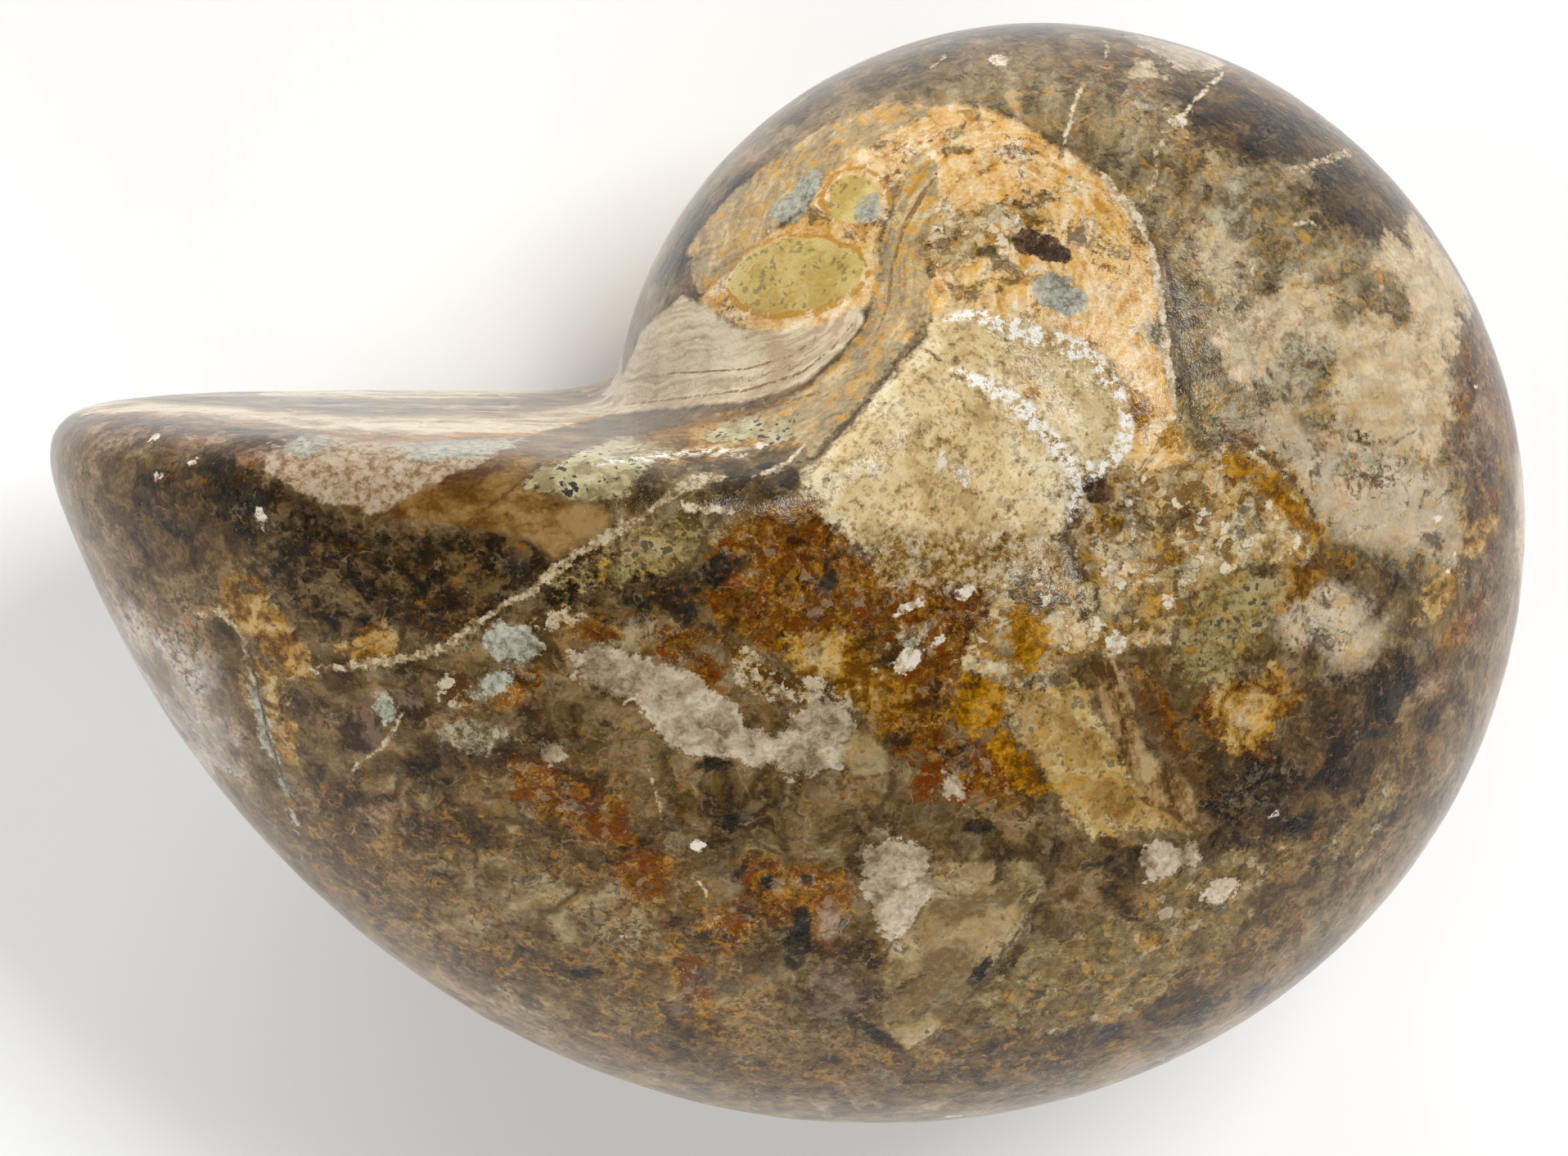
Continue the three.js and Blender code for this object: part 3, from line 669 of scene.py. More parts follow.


# veins, seams and lines of painted highlight

# Each route is a list of (x, y, half width), and "thick" is a factor over the half widths of a group.
# "wander" and "soft" are in millimetres, and "breaks" says where the grain lets a line through.
# Routes of one group keep clear of each other, because a group's lines share one attribute.
veins = {
    # painted highlights: a pale granular crust along the two arcs where the window lamp shines on the hill
    # round the umbilicus, and a thin line along the opening's rounded edge
    "crust": {
        "shades": [(216, 202, 172), (252, 250, 244)],
        "thick": 1.14, "wander": 0.5, "soft": 0.5, "breaks": (0.465, 0.06),
        "near": [
            [(-9.5, 14.8, 0.2), (-7, 15.4, 0.6), (-4.4, 14.3, 0.9), (-1.6, 13.3, 0.9), (1.7, 11.9, 0.8),
             (3.5, 9.4, 0.5), (4.4, 6.6, 0.5), (4, 4.6, 0.7), (2.8, 3, 0.6), (1.6, 2.2, 0.2)],
            [(-8.6, 10.2, 0.3), (-6.4, 9.5, 0.8), (-3.6, 8, 0.7), (-1.6, 5.6, 0.6), (0.4, 3.2, 0.6),
             (1, 1.2, 0.5), (0.2, -0.8, 0.4)],
            [(-34, 4.2, 0.1), (-30, 4.6, 0.25), (-26, 4.9, 0.25), (-23, 4.6, 0.1)],
        ],
        "far": [],
    },
    "chalkA": {
        "shades": [(110, 88, 60), (152, 133, 102), (198, 185, 160)],
        "thick": 0.78, "wander": 0.9, "soft": 0.2, "breaks": (0.36, 0.08),
        "near": [
            [(-23.5, 3.2, 0.3), (-26, 2.8, 0.7), (-28.2, 1.6, 0.4), (-30, 0.3, 0.5), (-33, -1.1, 0.6),
             (-36, -2.9, 0.8), (-38, -4.7, 0.35), (-40.5, -5.7, 0.4), (-43, -7.3, 0.4), (-45.5, -9, 0.6),
             (-48, -9.9, 0.6), (-51, -10.4, 0.6), (-54, -10.8, 0.5), (-57, -11.5, 0.3)],
            [(-67, -7.6, 0.4), (-64, -7.3, 0.5), (-62.4, -9.4, 0.3)],
            [(-49.2, -14.2, 0.3), (-50.2, -15.8, 0.25), (-51.3, -17.2, 0.2), (-53.5, -19, 0.2),
             (-55, -20.5, 0.1)],
            [(-30.5, -17.3, 0.1), (-30, -18.8, 0.14), (-29.8, -20.2, 0.14), (-29.6, -21.8, 0.1)],
            [(20.3, 26.5, 0.2), (22, 27.3, 0.4), (25, 28.4, 0.5), (28, 29.3, 0.6), (32, 30.3, 0.5)],
            [(11.4, 34.2, 0.3), (12.7, 32.3, 0.5), (11, 31, 0.3), (9.9, 29, 0.3), (9.3, 26.2, 0.35),
             (8, 24.6, 0.3), (6.9, 23.9, 0.35)],
            # a painted highlight: a short pale streak where the lamp shines on the right flank
            [(22.6, -2.9, 0.25), (25.4, -2.1, 0.35)],
            [(9.6, 42.6, 0.3), (8.2, 39.4, 0.2)],
            [(3.6, -3.2, 0.25), (3, -5, 0.3), (3.3, -7.6, 0.2)],
            [(-6, 42, 0.4), (-8, 40, 0.2)],
        ],
        "far": [
            [(-30, -6, 0.2), (-22, -10, 0.5), (-14, -18, 0.4), (-8, -30, 0.2)],
            [(10, 20, 0.2), (18, 14, 0.4), (28, 12, 0.2)],
        ],
    },
    "chalkB": {
        "shades": [(150, 128, 96), (190, 172, 142), (218, 206, 186)],
        "thick": 0.85, "wander": 0.7, "soft": 0.2, "breaks": (0.36, 0.08),
        "near": [
            [(12.9, 32.4, 0.4), (15, 34.7, 0.25), (17.4, 36.4, 0.3), (20.4, 38.7, 0.25)],
            [(2.1, 30.4, 0.3), (2.9, 32.2, 0.3), (3.6, 34, 0.25), (4.9, 36.4, 0.15)],
            [(-31.8, -12.8, 0.1), (-30.7, -11.9, 0.14), (-29.7, -11.7, 0.12)],
            [(-27.8, -26.6, 0.12), (-27, -27.4, 0.16), (-26.8, -28.5, 0.1)],
            [(-26.8, 1.8, 0.2), (-25.2, 1.2, 0.5), (-22.6, 1, 0.4)],
            [(-21.8, 3.2, 0.2), (-19.6, 4, 0.35), (-18.6, 5.8, 0.2)],
            [(16.2, 17.4, 0.25), (17, 19, 0.25)],
            # a painted highlight: another short pale streak of the lamp on the right flank
            [(26, -2.5, 0.2), (28, -1.8, 0.3)],
            [(21, 22.4, 0.2), (23, 22.9, 0.3), (24.4, 22.2, 0.15)],
            [(4.6, 27.8, 0.5), (6, 25.3, 0.7), (7.3, 23.6, 0.6), (8.1, 20, 0.4), (8.1, 15, 0.5),
             (8, 10.6, 0.5), (8.2, 7, 0.3)],
        ],
        "far": [[(-40, 10, 0.2), (-30, 14, 0.4), (-20, 13, 0.2)]],
    },
    "seamA": {
        "shades": [(38, 28, 18), (84, 66, 46)],
        "thick": 0.62, "wander": 0.9, "soft": 0.3, "breaks": (0.42, 0.08),
        "near": [
            [(-19, 3.7, 0.2), (-20.5, 2.6, 0.45), (-22.6, 1.4, 0.35), (-24.2, 0.4, 0.3),
             (-24.8, -0.8, 0.3), (-25.6, -2.4, 0.5), (-28, -3.7, 0.6), (-31, -4.5, 0.5), (-34.5, -5, 0.3)],
            [(-17.8, 4, 0.4), (-16, 6.2, 0.5), (-14.4, 8.2, 0.4), (-12.6, 10.8, 0.3), (-10.6, 13.4, 0.3),
             (-10.2, 15.6, 0.2)],
            [(0.2, -0.6, 0.25), (-0.2, -2, 0.3), (0.4, -3.6, 0.3), (1.3, -5.2, 0.2)],
            [(4.8, -9.4, 0.3), (5.8, -12.6, 0.4), (7, -16, 0.4), (9, -19.4, 0.6), (11.6, -22.4, 0.6),
             (15.4, -27, 0.3)],
            [(9.4, 22.4, 0.2), (9.2, 19.6, 0.4), (9.4, 16, 0.5), (9.2, 12.6, 0.4), (9.6, 8.4, 0.5),
             (9.8, 5.6, 0.3)],
            [(-0.6, -22.6, 0.4), (-0.6, -26, 0.5), (-1.3, -28.6, 0.3), (-3.6, -33, 0.3),
             (-5.4, -36.6, 0.3), (-8.6, -41.6, 0.15), (-11.4, -44.6, 0.1)],
            [(-12.8, -17.6, 0.4), (-12.9, -19, 0.5), (-13.9, -21.2, 0.45), (-14.8, -23.2, 0.3),
             (-16.2, -24.4, 0.15)],
            [(-24.2, -22, 0.2), (-22.8, -23.7, 0.35), (-20.4, -24.8, 0.35), (-18.6, -25.2, 0.15)],
            [(-62, -9.6, 0.3), (-61.8, -14, 0.4), (-61.4, -19, 0.35), (-60.2, -25, 0.15)],
            [(-57.6, 2.2, 0.6), (-54, 0.2, 0.8), (-50.4, -1.4, 0.7), (-46.2, -2.4, 0.4)],
        ],
        "far": [
            [(-20, 3, 0.3), (-26, -2, 0.4), (-36, -5, 0.3), (-46, -4, 0.1)],
            [(9, 20, 0.2), (10, 8, 0.4), (4, -2, 0.3)],
        ],
    },
    "seamB": {
        "shades": [(52, 34, 18), (98, 70, 42)],
        "thick": 0.75, "wander": 0.6, "soft": 0.25, "breaks": (0.44, 0.08),
        "near": [
            [(3.4, -10.6, 0.3), (5, -13.4, 0.7), (7.2, -16.8, 0.8), (11.3, -22.2, 0.8),
             (15.7, -25.5, 0.3)],
            [(-22.2, -17.2, 0.12), (-19.5, -18.1, 0.22), (-16.5, -18.6, 0.22), (-13.6, -18, 0.15)],
            [(-11, 12.3, 0.15), (-9.8, 11.4, 0.25), (-9, 11, 0.15)],
            [(22, 5.3, 0.1), (25, 4.2, 0.22), (28, 4.2, 0.22), (31, 5.2, 0.1)],
            [(-43, 0, 0.2), (-41.4, 1.2, 0.25), (-40, 2, 0.25), (-38.6, 3.2, 0.2)],
            [(-30, -5.2, 0.15), (-31.2, -6.3, 0.25)],
            [(-56, -9, 0.15), (-53.4, -9.8, 0.25), (-50.8, -8.6, 0.15)],
            [(9, 7, 0.2), (12.8, 5.4, 0.4), (16.4, 3.2, 0.5), (18.8, 0.8, 0.45), (20.2, -2.4, 0.4),
             (20.6, -5.4, 0.3)],
            [(4.6, -21.3, 0.2), (7, -22.2, 0.35), (9.2, -23.8, 0.35), (11.4, -25.6, 0.2)],
            [(-46.4, -13.8, 0.2), (-44, -14, 0.3), (-40.8, -12.6, 0.15)],
            [(-3.9, 33.4, 0.1), (-2, 30.6, 0.12)],
            [(14.4, 31.6, 0.12), (18, 29.6, 0.2), (20, 27.2, 0.12)],
            [(-58, -12, 0.2), (-54, -12.4, 0.3), (-51.5, -11.8, 0.2), (-48.5, -12.4, 0.15)],
        ],
        "far": [],
    },
    "ringLines": {
        "shades": [(150, 104, 48), (190, 146, 78)],
        "thick": 0.7, "wander": 0.25, "soft": 0.14, "breaks": (0.4, 0.1),
        "near": [
            [(-28.4, 21, 0.3), (-26.6, 22.9, 0.25), (-23, 24, 0.25), (-19.4, 23.6, 0.3),
             (-16.2, 22, 0.3), (-15.3, 20, 0.35), (-16.6, 17.9, 0.45), (-20, 16.6, 0.6),
             (-24, 16.5, 0.6), (-27, 17.7, 0.5), (-28.5, 19.6, 0.4)],
            [(-18.4, 25, 0.4), (-19.4, 27, 0.5), (-18, 29.4, 0.35), (-15.4, 29.8, 0.3),
             (-13.4, 28, 0.35), (-13.2, 25.6, 0.3)],
            [(-9.4, 29.8, 0.25), (-10.4, 28, 0.35), (-12, 26.2, 0.3)],
            [(-20.4, 9.3, 0.1), (-17, 12.2, 0.15), (-15.2, 15.4, 0.2)],
        ],
        "far": [
            [(-26, 16, 0.25), (-24, 20, 0.3), (-18, 20.4, 0.3), (-14, 17, 0.3), (-16, 13, 0.3),
             (-22, 12, 0.3)],
        ],
    },
    "flowLines": {
        "shades": [(104, 74, 44), (140, 104, 66)],
        "thick": 1, "wander": 0.15, "soft": 0.1, "breaks": (0.42, 0.1),
        "near": [
            [(-40, 8.6, 0.1), (-33, 9.4, 0.14), (-26, 9.9, 0.16), (-21, 11.1, 0.16), (-18.2, 13, 0.14),
             (-16.4, 15.4, 0.1)],
            [(-14.6, 13.6, 0.14), (-13.6, 17, 0.2), (-13.4, 20, 0.2), (-12.2, 23.6, 0.25),
             (-10.6, 26.2, 0.25), (-9, 28.4, 0.15)],
            [(-42, 10.8, 0.06), (-34, 11.8, 0.1), (-26, 11.9, 0.12), (-21.6, 12.9, 0.12), (-19, 15, 0.06)],
            [(-34, 5.9, 0.15), (-30.6, 6.6, 0.3), (-26.4, 7.7, 0.3), (-22, 8.6, 0.25), (-18.4, 9.4, 0.15)],
            [(-60.6, 6.6, 0.1), (-56.4, 6.4, 0.16), (-51.9, 6, 0.24), (-48, 5.9, 0.2), (-43.6, 6, 0.16),
             (-41.4, 6.4, 0.12)],
        ],
        "far": [],
    },
}
lineFade = {"pastEnd": 1.6, "away": 3}    # how fast a line's width falls past its ends and away from it


def groupLines(x, y, group, side):
    # signed distance to the nearest route of a group, and its half width there, fading past its ends
    settings = veins[group]
    reach = stone["lineReach"]
    beside = np.full(len(x), reach)
    width = np.full(len(x), -reach)
    nearest = np.full(len(x), reach)
    for route in settings[side]:
        gap, along, aside = toSegments(x, y, route)
        widths = [settings["thick"] * point[2] for point in route]
        wide = np.interp(along, np.linspace(0, 1, len(route)), widths)
        pastEnd = np.where((along <= 0) | (along >= 1), gap, 0)
        wide = wide - pastEnd * lineFade["pastEnd"] - np.clip(gap - 1, 0, None) * lineFade["away"]
        closer = gap < nearest
        nearest = np.where(closer, gap, nearest)
        beside = np.where(closer, aside, beside)
        width = np.where(closer, np.clip(wide, -reach, reach), width)
    return beside, width


# the shape of the polished surface

relief = {
    "unevenness": (0.07, 0.11, 1, 3),     # of the hand polish: millimetres, scale, seed, octaves
    "ripple": (0.018, 0.5, 2, 2),         # smaller ripples, in the same way
    "fallOff": 1,                         # how fast the finer waves die away
    "finer": 2,                           # how much finer each wave is than the one before
    "upperPart": (-2, 6),                 # heights over the middle plane between which details set in
    "pits": (0.16, 0.75, 3, 2),           # pits in the coarse stone, in the same way as the unevenness
    "pitted": ("breccia", "sugar", "rust", "mealy"),
    "pitFrom": (0.22, 0.6),               # that noise's value where a pit starts, and where it is deepest
    "pitEdge": (-2, 0.5),                 # where they set in, in millimetres into a pitted patch
    "pitsElsewhere": 0.25,
    "openSeams": {"seamA": 0.12, "seamB": 0.12, "chalkA": 0.05},
    "seamSpread": 0.45,                   # half width of an open seam
    "seamSharpness": 2,
    # steps down to the right of a route: the drop in millimetres and half its width
    "stepReach": 7,
    "stepEnds": ((0, 0.2), (0.85, 1)),    # shares of the route over which a step sets in and dies out
    "steps": [
        {"drop": 0.55, "half": 1.2,
         "route": [(-7, 15.6), (-4.4, 14.1), (-0.4, 13), (1.9, 11.9), (3.6, 9.4), (4.3, 6.4), (3.9, 4.4),
                   (2.6, 2.8)]},
        {"drop": 0.45, "half": 1.1,
         "route": [(-9, 10.4), (-6.4, 9.7), (-3.4, 8.2), (-1.2, 5.4), (0.7, 3), (1, 1), (0, -1)]},
    ],
    # hollows along a route: depth and half width
    "hollowEnds": ((-0.02, 0.15), (0.8, 1.02)),
    "hollows": [
        {"deep": 0.5, "half": 1.6,
         "route": [(-0.4, -1), (1.4, 2.2), (1.8, 4.6), (0.6, 7.2), (-1.6, 9.4), (-4.5, 11.6)]},
        {"deep": 0.35, "half": 1.2,
         "route": [(0, -1), (0.3, -4), (2.6, -8.6), (5.2, -12.6), (8, -18.4), (12, -23)]},
        {"deep": 0.15, "half": 0.7,
         "route": [(-20.6, 9), (-16.4, 12), (-14.6, 15.6), (-14.4, 20), (-12.6, 24.6), (-10, 28.6)]},
        {"deep": 0.12, "half": 0.6,
         "route": [(-24.4, 0.6), (-21, 2.4), (-18, 4.2), (-15.4, 7), (-12.4, 11), (-10.3, 14.6)]},
    ],
}
seedSteps = (17.3, 5.1, 9.7)              # how far apart the noises of two seeds are looked up


def heightNoise(places, scale, seed, octaves):
    offset = Vector([seed * step for step in seedSteps])
    waves = (relief["fallOff"], relief["finer"], octaves)
    return np.array([noise.fractal(Vector(place) * scale + offset, *waves, noise_basis="PERLIN_ORIGINAL")
                     for place in places])


def alongRoute(along, ends):
    # 1 along a route, easing to 0 towards its ends
    (startFrom, startTo), (endFrom, endTo) = ends
    return easeIn(along, startFrom, startTo) * easeIn(-along, -endTo, -endFrom)


def carve(nautilus):
    mesh = nautilus.data
    points, normals = perPoint(mesh, "co"), perPoint(mesh, "normal")
    shell = shellPlaces(points)
    onTop = easeIn(shell[:, 2], *relief["upperPart"])
    x, y = flankMap(shell, 1)
    height = np.zeros(len(x))
    for size, *waves in (relief["unevenness"], relief["ripple"]):
        height += size * heightNoise(shell, *waves)
    for step in relief["steps"]:
        gap, along, beside = toSegments(x, y, step["route"])
        fade = alongRoute(along, relief["stepEnds"]) * easeIn(-gap, -relief["stepReach"], -step["half"])
        height += onTop * fade * step["drop"] * (easeIn(beside, -step["half"], step["half"]) - 0.5)
    for hollow in relief["hollows"]:
        gap, along, _ = toSegments(x, y, hollow["route"])
        fade = alongRoute(along, relief["hollowEnds"])
        height -= onTop * fade * hollow["deep"] * np.exp(-(gap / hollow["half"]) ** 2)
    for group, deep in relief["openSeams"].items():
        beside, width = groupLines(x, y, group, "near")
        opened = np.clip(width * relief["seamSharpness"], 0, 1)
        height -= onTop * deep * opened * np.exp(-(beside / relief["seamSpread"]) ** 2)
    coarse = np.full(len(x), np.inf)
    for kind in relief["pitted"]:
        for patch in kinds[kind]["near"]:
            coarse = np.minimum(coarse, patchDistance(x, y, patch))
    deep, *waves = relief["pits"]
    elsewhere = relief["pitsElsewhere"]
    where = elsewhere + (1 - elsewhere) * easeIn(-coarse, *relief["pitEdge"]) * onTop
    height -= deep * where * easeIn(heightNoise(shell, *waves), *relief["pitFrom"])
    points += normals * (height * millimetre)[:, None]
    points[:, 2] = np.maximum(points[:, 2], 0)
    mesh.vertices.foreach_set("co", points.ravel())
    mesh.update()
    print("carved", len(points), "points, from", round(height.min(), 3), "to", round(height.max(), 3), "mm")


# what the stone is at each point

# the opening: a flat face, closed with stone
mouth = {
    "facing": 0.86,                       # how much a point faces the opening where its face ends
    "facingScale": 12,                    # turns that into millimetres
    "inner": -29,                         # where the face ends towards the coil
    "height": 5.6,                        # of the face over the coil's axis
    "halfDepth": 3.5,                     # of the strip of the upper flank that belongs to the face
    "upperFlank": (-8, 4),                # over these heights the edge on the upper flank takes over
    "reach": 3,                           # distances are kept up to here
    "edge": [(-86, 7.5), (-70, 7.4), (-64, 7), (-56, 6.5), (-48, 6), (-42, 6), (-40.5, 7), (-39.5, 9),
             (-44, 12), (-60, 14), (-110, 14)],
    # along the opening: how high over the middle plane its upper edge is
    "rim": [(-70, 2), (-67, 3.5), (-63, 8), (-56, 12.5), (-52, 18.5), (-47, 18.8), (-37, 18.5),
            (-34.5, 15), (-32, 11), (-29, 7)],
}

# the curve that the layers of the inner whorl follow
flow = {
    "reach": 15,
    "guide": [(-70, 7), (-52, 6.6), (-40, 8.4), (-30, 9.6), (-22, 10.6), (-17, 13), (-14.6, 17), (-14, 21),
              (-11.6, 26), (-7, 30), (-1, 30), (4, 26), (7, 20), (7, 12), (6, 5)],
}


def writeAttribute(mesh, name, values):
    attribute = mesh.attributes.new(name, "FLOAT", "POINT")
    attribute.data.foreach_set("value", values.astype(np.float32))


def layOutStone(nautilus):
    mesh = nautilus.data
    shell = shellPlaces(perPoint(mesh, "co"))
    facing = perPoint(mesh, "normal") @ shellToWorld
    height = shell[:, 2]
    sides = {"near": 1, "far": -1}
    maps = {side: flankMap(shell, sign) for side, sign in sides.items()}
    edge = {side: -sign * height - stone["sideReach"] for side, sign in sides.items()}
    belt = (np.arctan2(shell[:, 1], shell[:, 0]) * stone["beltRadius"], height)
    for kind, settings in kinds.items():
        nearest = np.full(len(shell), float(stone["patchReach"]))
        for side in sides:
            for patch in settings[side]:
                nearest = np.minimum(nearest, np.maximum(patchDistance(*maps[side], patch), edge[side]))
        for degrees, *rest in settings.get("belt", []):
            oval = (math.radians(degrees) * stone["beltRadius"], *rest)
            nearest = np.minimum(nearest, patchDistance(*belt, oval))
        # worn through in places: the distance stops growing a little way in
        depth = settings["ragged"] * settings.get("depth", stone["usualDepth"])
        writeAttribute(mesh, kind, np.maximum(nearest, -depth))
    atMiddle = np.abs(height) < stone["lineGap"]
    for group in veins:
        lines = {side: groupLines(*maps[side], group, side) for side in sides}
        beside, width = (np.where(height < 0, far, near) for near, far in zip(lines["near"], lines["far"]))
        writeAttribute(mesh, group + "Side", beside)
        writeAttribute(mesh, group + "Width", width - 2 * atMiddle)
    # how far a point is from the middle plane, and how much it faces the opening
    writeAttribute(mesh, "height", height)
    writeAttribute(mesh, "mouth", mouthDistance(shell, facing, maps["near"]))
    writeAttribute(mesh, "mouthDepth", np.interp(shell[:, 0], *zip(*mouth["rim"])) - height)
    around, out = coilFlow(*maps["near"])
    writeAttribute(mesh, "flowAlong", around)
    writeAttribute(mesh, "flowAcross", out)
    print("laid out", len(kinds), "kinds and", len(veins), "groups of lines")


def mouthDistance(shell, facing, nearMap):
    # negative on the flat face that closes the body chamber
    turned = (mouth["facing"] - facing[:, 1]) * mouth["facingScale"]
    onFace = np.maximum(turned, shell[:, 0] - mouth["inner"])
    upper = np.maximum(outlineDistance(*nearMap, mouth["edge"]),
                       np.abs(shell[:, 1] - mouth["height"]) - mouth["halfDepth"])
    blend = easeIn(shell[:, 2], *mouth["upperFlank"])
    return np.clip(onFace * (1 - blend) + upper * blend, -mouth["reach"], mouth["reach"])


def coilFlow(x, y):
    # millimetres along the curve and aside of it
    guide = flow["guide"]
    _, along, beside = toSegments(x, y, guide)
    lengths = [math.dist(a, b) for a, b in zip(guide, guide[1:])]
    total = np.concatenate([[0], np.cumsum(lengths)])
    around = np.interp(along, np.linspace(0, 1, len(guide)), total)
    return around, np.clip(beside, -flow["reach"], flow["reach"])


# shader tools

class Wire:
    # a node's output; sums, products and so on of it add Math nodes
    def __init__(self, board, output):
        self.board, self.output = board, output

    def maths(self, operation, *others, clamp=False):
        inputs = dict(enumerate((self,) + others))
        return self.board.add("ShaderNodeMath", {"operation": operation, "use_clamp": clamp}, inputs)

    def __add__(self, other):
        return self.maths("ADD", other)

    def __sub__(self, other):
        return self.maths("SUBTRACT", other)

    def __mul__(self, other):
        return self.maths("MULTIPLY", other)

    def __rsub__(self, other):
        return self.board.add("ShaderNodeMath", {"operation": "SUBTRACT"}, {0: other, 1: self})

    def size(self):
        return self.maths("ABSOLUTE")

    def over(self, start, soft):
        # 0 below start, 1 once it is soft past it
        return self.maths("MULTIPLY_ADD", 1 / soft, -start / soft, clamp=True)


def linear(shade):
    # a shade given as 0 to 255 screen values, as light
    share = [c / 255 for c in shade]
    return tuple(s / 12.92 if s <= 0.04045 else ((s + 0.055) / 1.055) ** 2.4 for s in share) + (1,)


class Board:
    # the nodes of one material
    def __init__(self, name):
        self.material = bpy.data.materials.new(name)
        self.material.use_nodes = True
        self.tree = self.material.node_tree
        self.tree.nodes.clear()

    def add(self, kind, settings, inputs, output=0):
        node = self.tree.nodes.new(kind)
        for name, value in settings.items():
            setattr(node, name, value)
        for name, value in inputs.items():
            if isinstance(value, Wire):
                self.tree.links.new(value.output, node.inputs[name])
            else:
                node.inputs[name].default_value = value
        return Wire(self, node.outputs[output] if node.outputs else None)

    def attribute(self, name):
        return self.add("ShaderNodeAttribute", {"attribute_name": name}, {}, "Fac")

    def vector(self, operation, *inputs):
        return self.add("ShaderNodeVectorMath", {"operation": operation}, dict(enumerate(inputs)))

    def scaled(self, vector, times):
        return self.add("ShaderNodeVectorMath", {"operation": "SCALE"}, {0: vector, "Scale": times})

    def noise(self, vector, scale, detail=4, roughness=0.6, output="Fac"):
        inputs = {"Vector": vector, "Scale": scale, "Detail": detail, "Roughness": roughness}
        return self.add("ShaderNodeTexNoise", {}, inputs, output)

    def cells(self, vector, scale, output, feature="F1"):
        inputs = {"Vector": vector, "Scale": scale}
        return self.add("ShaderNodeTexVoronoi", {"feature": feature}, inputs, output)

    def mix(self, under, over, share, blend="MIX"):
        settings = {"data_type": "RGBA", "blend_type": blend}
        return self.add("ShaderNodeMix", settings, {0: share, 6: under, 7: over}, 2)

    def tint(self, under, shade, share, blend="MIX"):
        return self.mix(under, linear(shade), share, blend)

    def ramp(self, value, shades, start=0.34, end=0.66):
        wire = self.add("ShaderNodeValToRGB", {}, {"Fac": value}, "Color")
        elements = wire.output.node.color_ramp.elements
        last = len(shades) - 1
        while len(elements) <= last:
            elements.new(1)
        for i, shade in enumerate(shades):
            elements[i].position = start + (end - start) * i / last
            elements[i].color = linear(shade)
        return wire


# the stone's material

# noises, all per millimetre of stone: scale, detail, roughness
noises = {
    "broadPush": (0.22, 3, 0.6),
    "finePush": (1.1, 3, 0.6),
    "bend": (0.35, 3, 0.5),
    "slow": (0.09, 2, 0.5),
    "cloud": (0.15, 5, 0.6),
    "mottle": (0.42, 5, 0.68),
    "grain": (1.5, 4, 0.76),
    "streak": (0.7, 4, 0.65),
    "flow": (1, 4, 0.6),
    "edges": (0.55, 5, 0.74),
    "lumps": (0.85, 4, 0.7),
    "brick": (0.4, 5, 0.7),
    "whiteSpecks": (3.4, 3, 0.8),
    "blotches": (0.32, 5, 0.74),
    "bits": (1.7, 4, 0.72),
    "rusty": (2.2, 3, 0.72),
    "partly": (0.6, 2, 0.6),
    "layers": (0.5, 5, 0.65),
    "sparkle": (4.5, 2, 0.8),
    "bumps": (1.6, 3, 0.7),
}

# how the noises are laid out
weave = {
    "cellScale": 1.1,                     # of the cells, dots and cracks, per millimetre
    "dotScale": 1.45,
    "crackScale": 0.32,
    "broadPush": 6,                       # millimetres that the coarse and the fine push move a place
    "finePush": 1.4,
    "streakScale": (0.25, 0.25, 0.3),     # streaks are drawn out away from the axis
    "streakTurn": 26,                     # and change this fast around it
    "bend": 2.4,                          # millimetres that the flow sways
    "flowAlong": 0.13,                    # scales of the flow along its layers and across them
    "flowAcross": 1.7,
    "bands": 14,                          # how many bands the slow noise is cut into
    "dotGrain": 0.9,                      # how much grain and mottle break up the dots
    "dotMottle": 1.2,
    "speckMottle": 0.5,
}

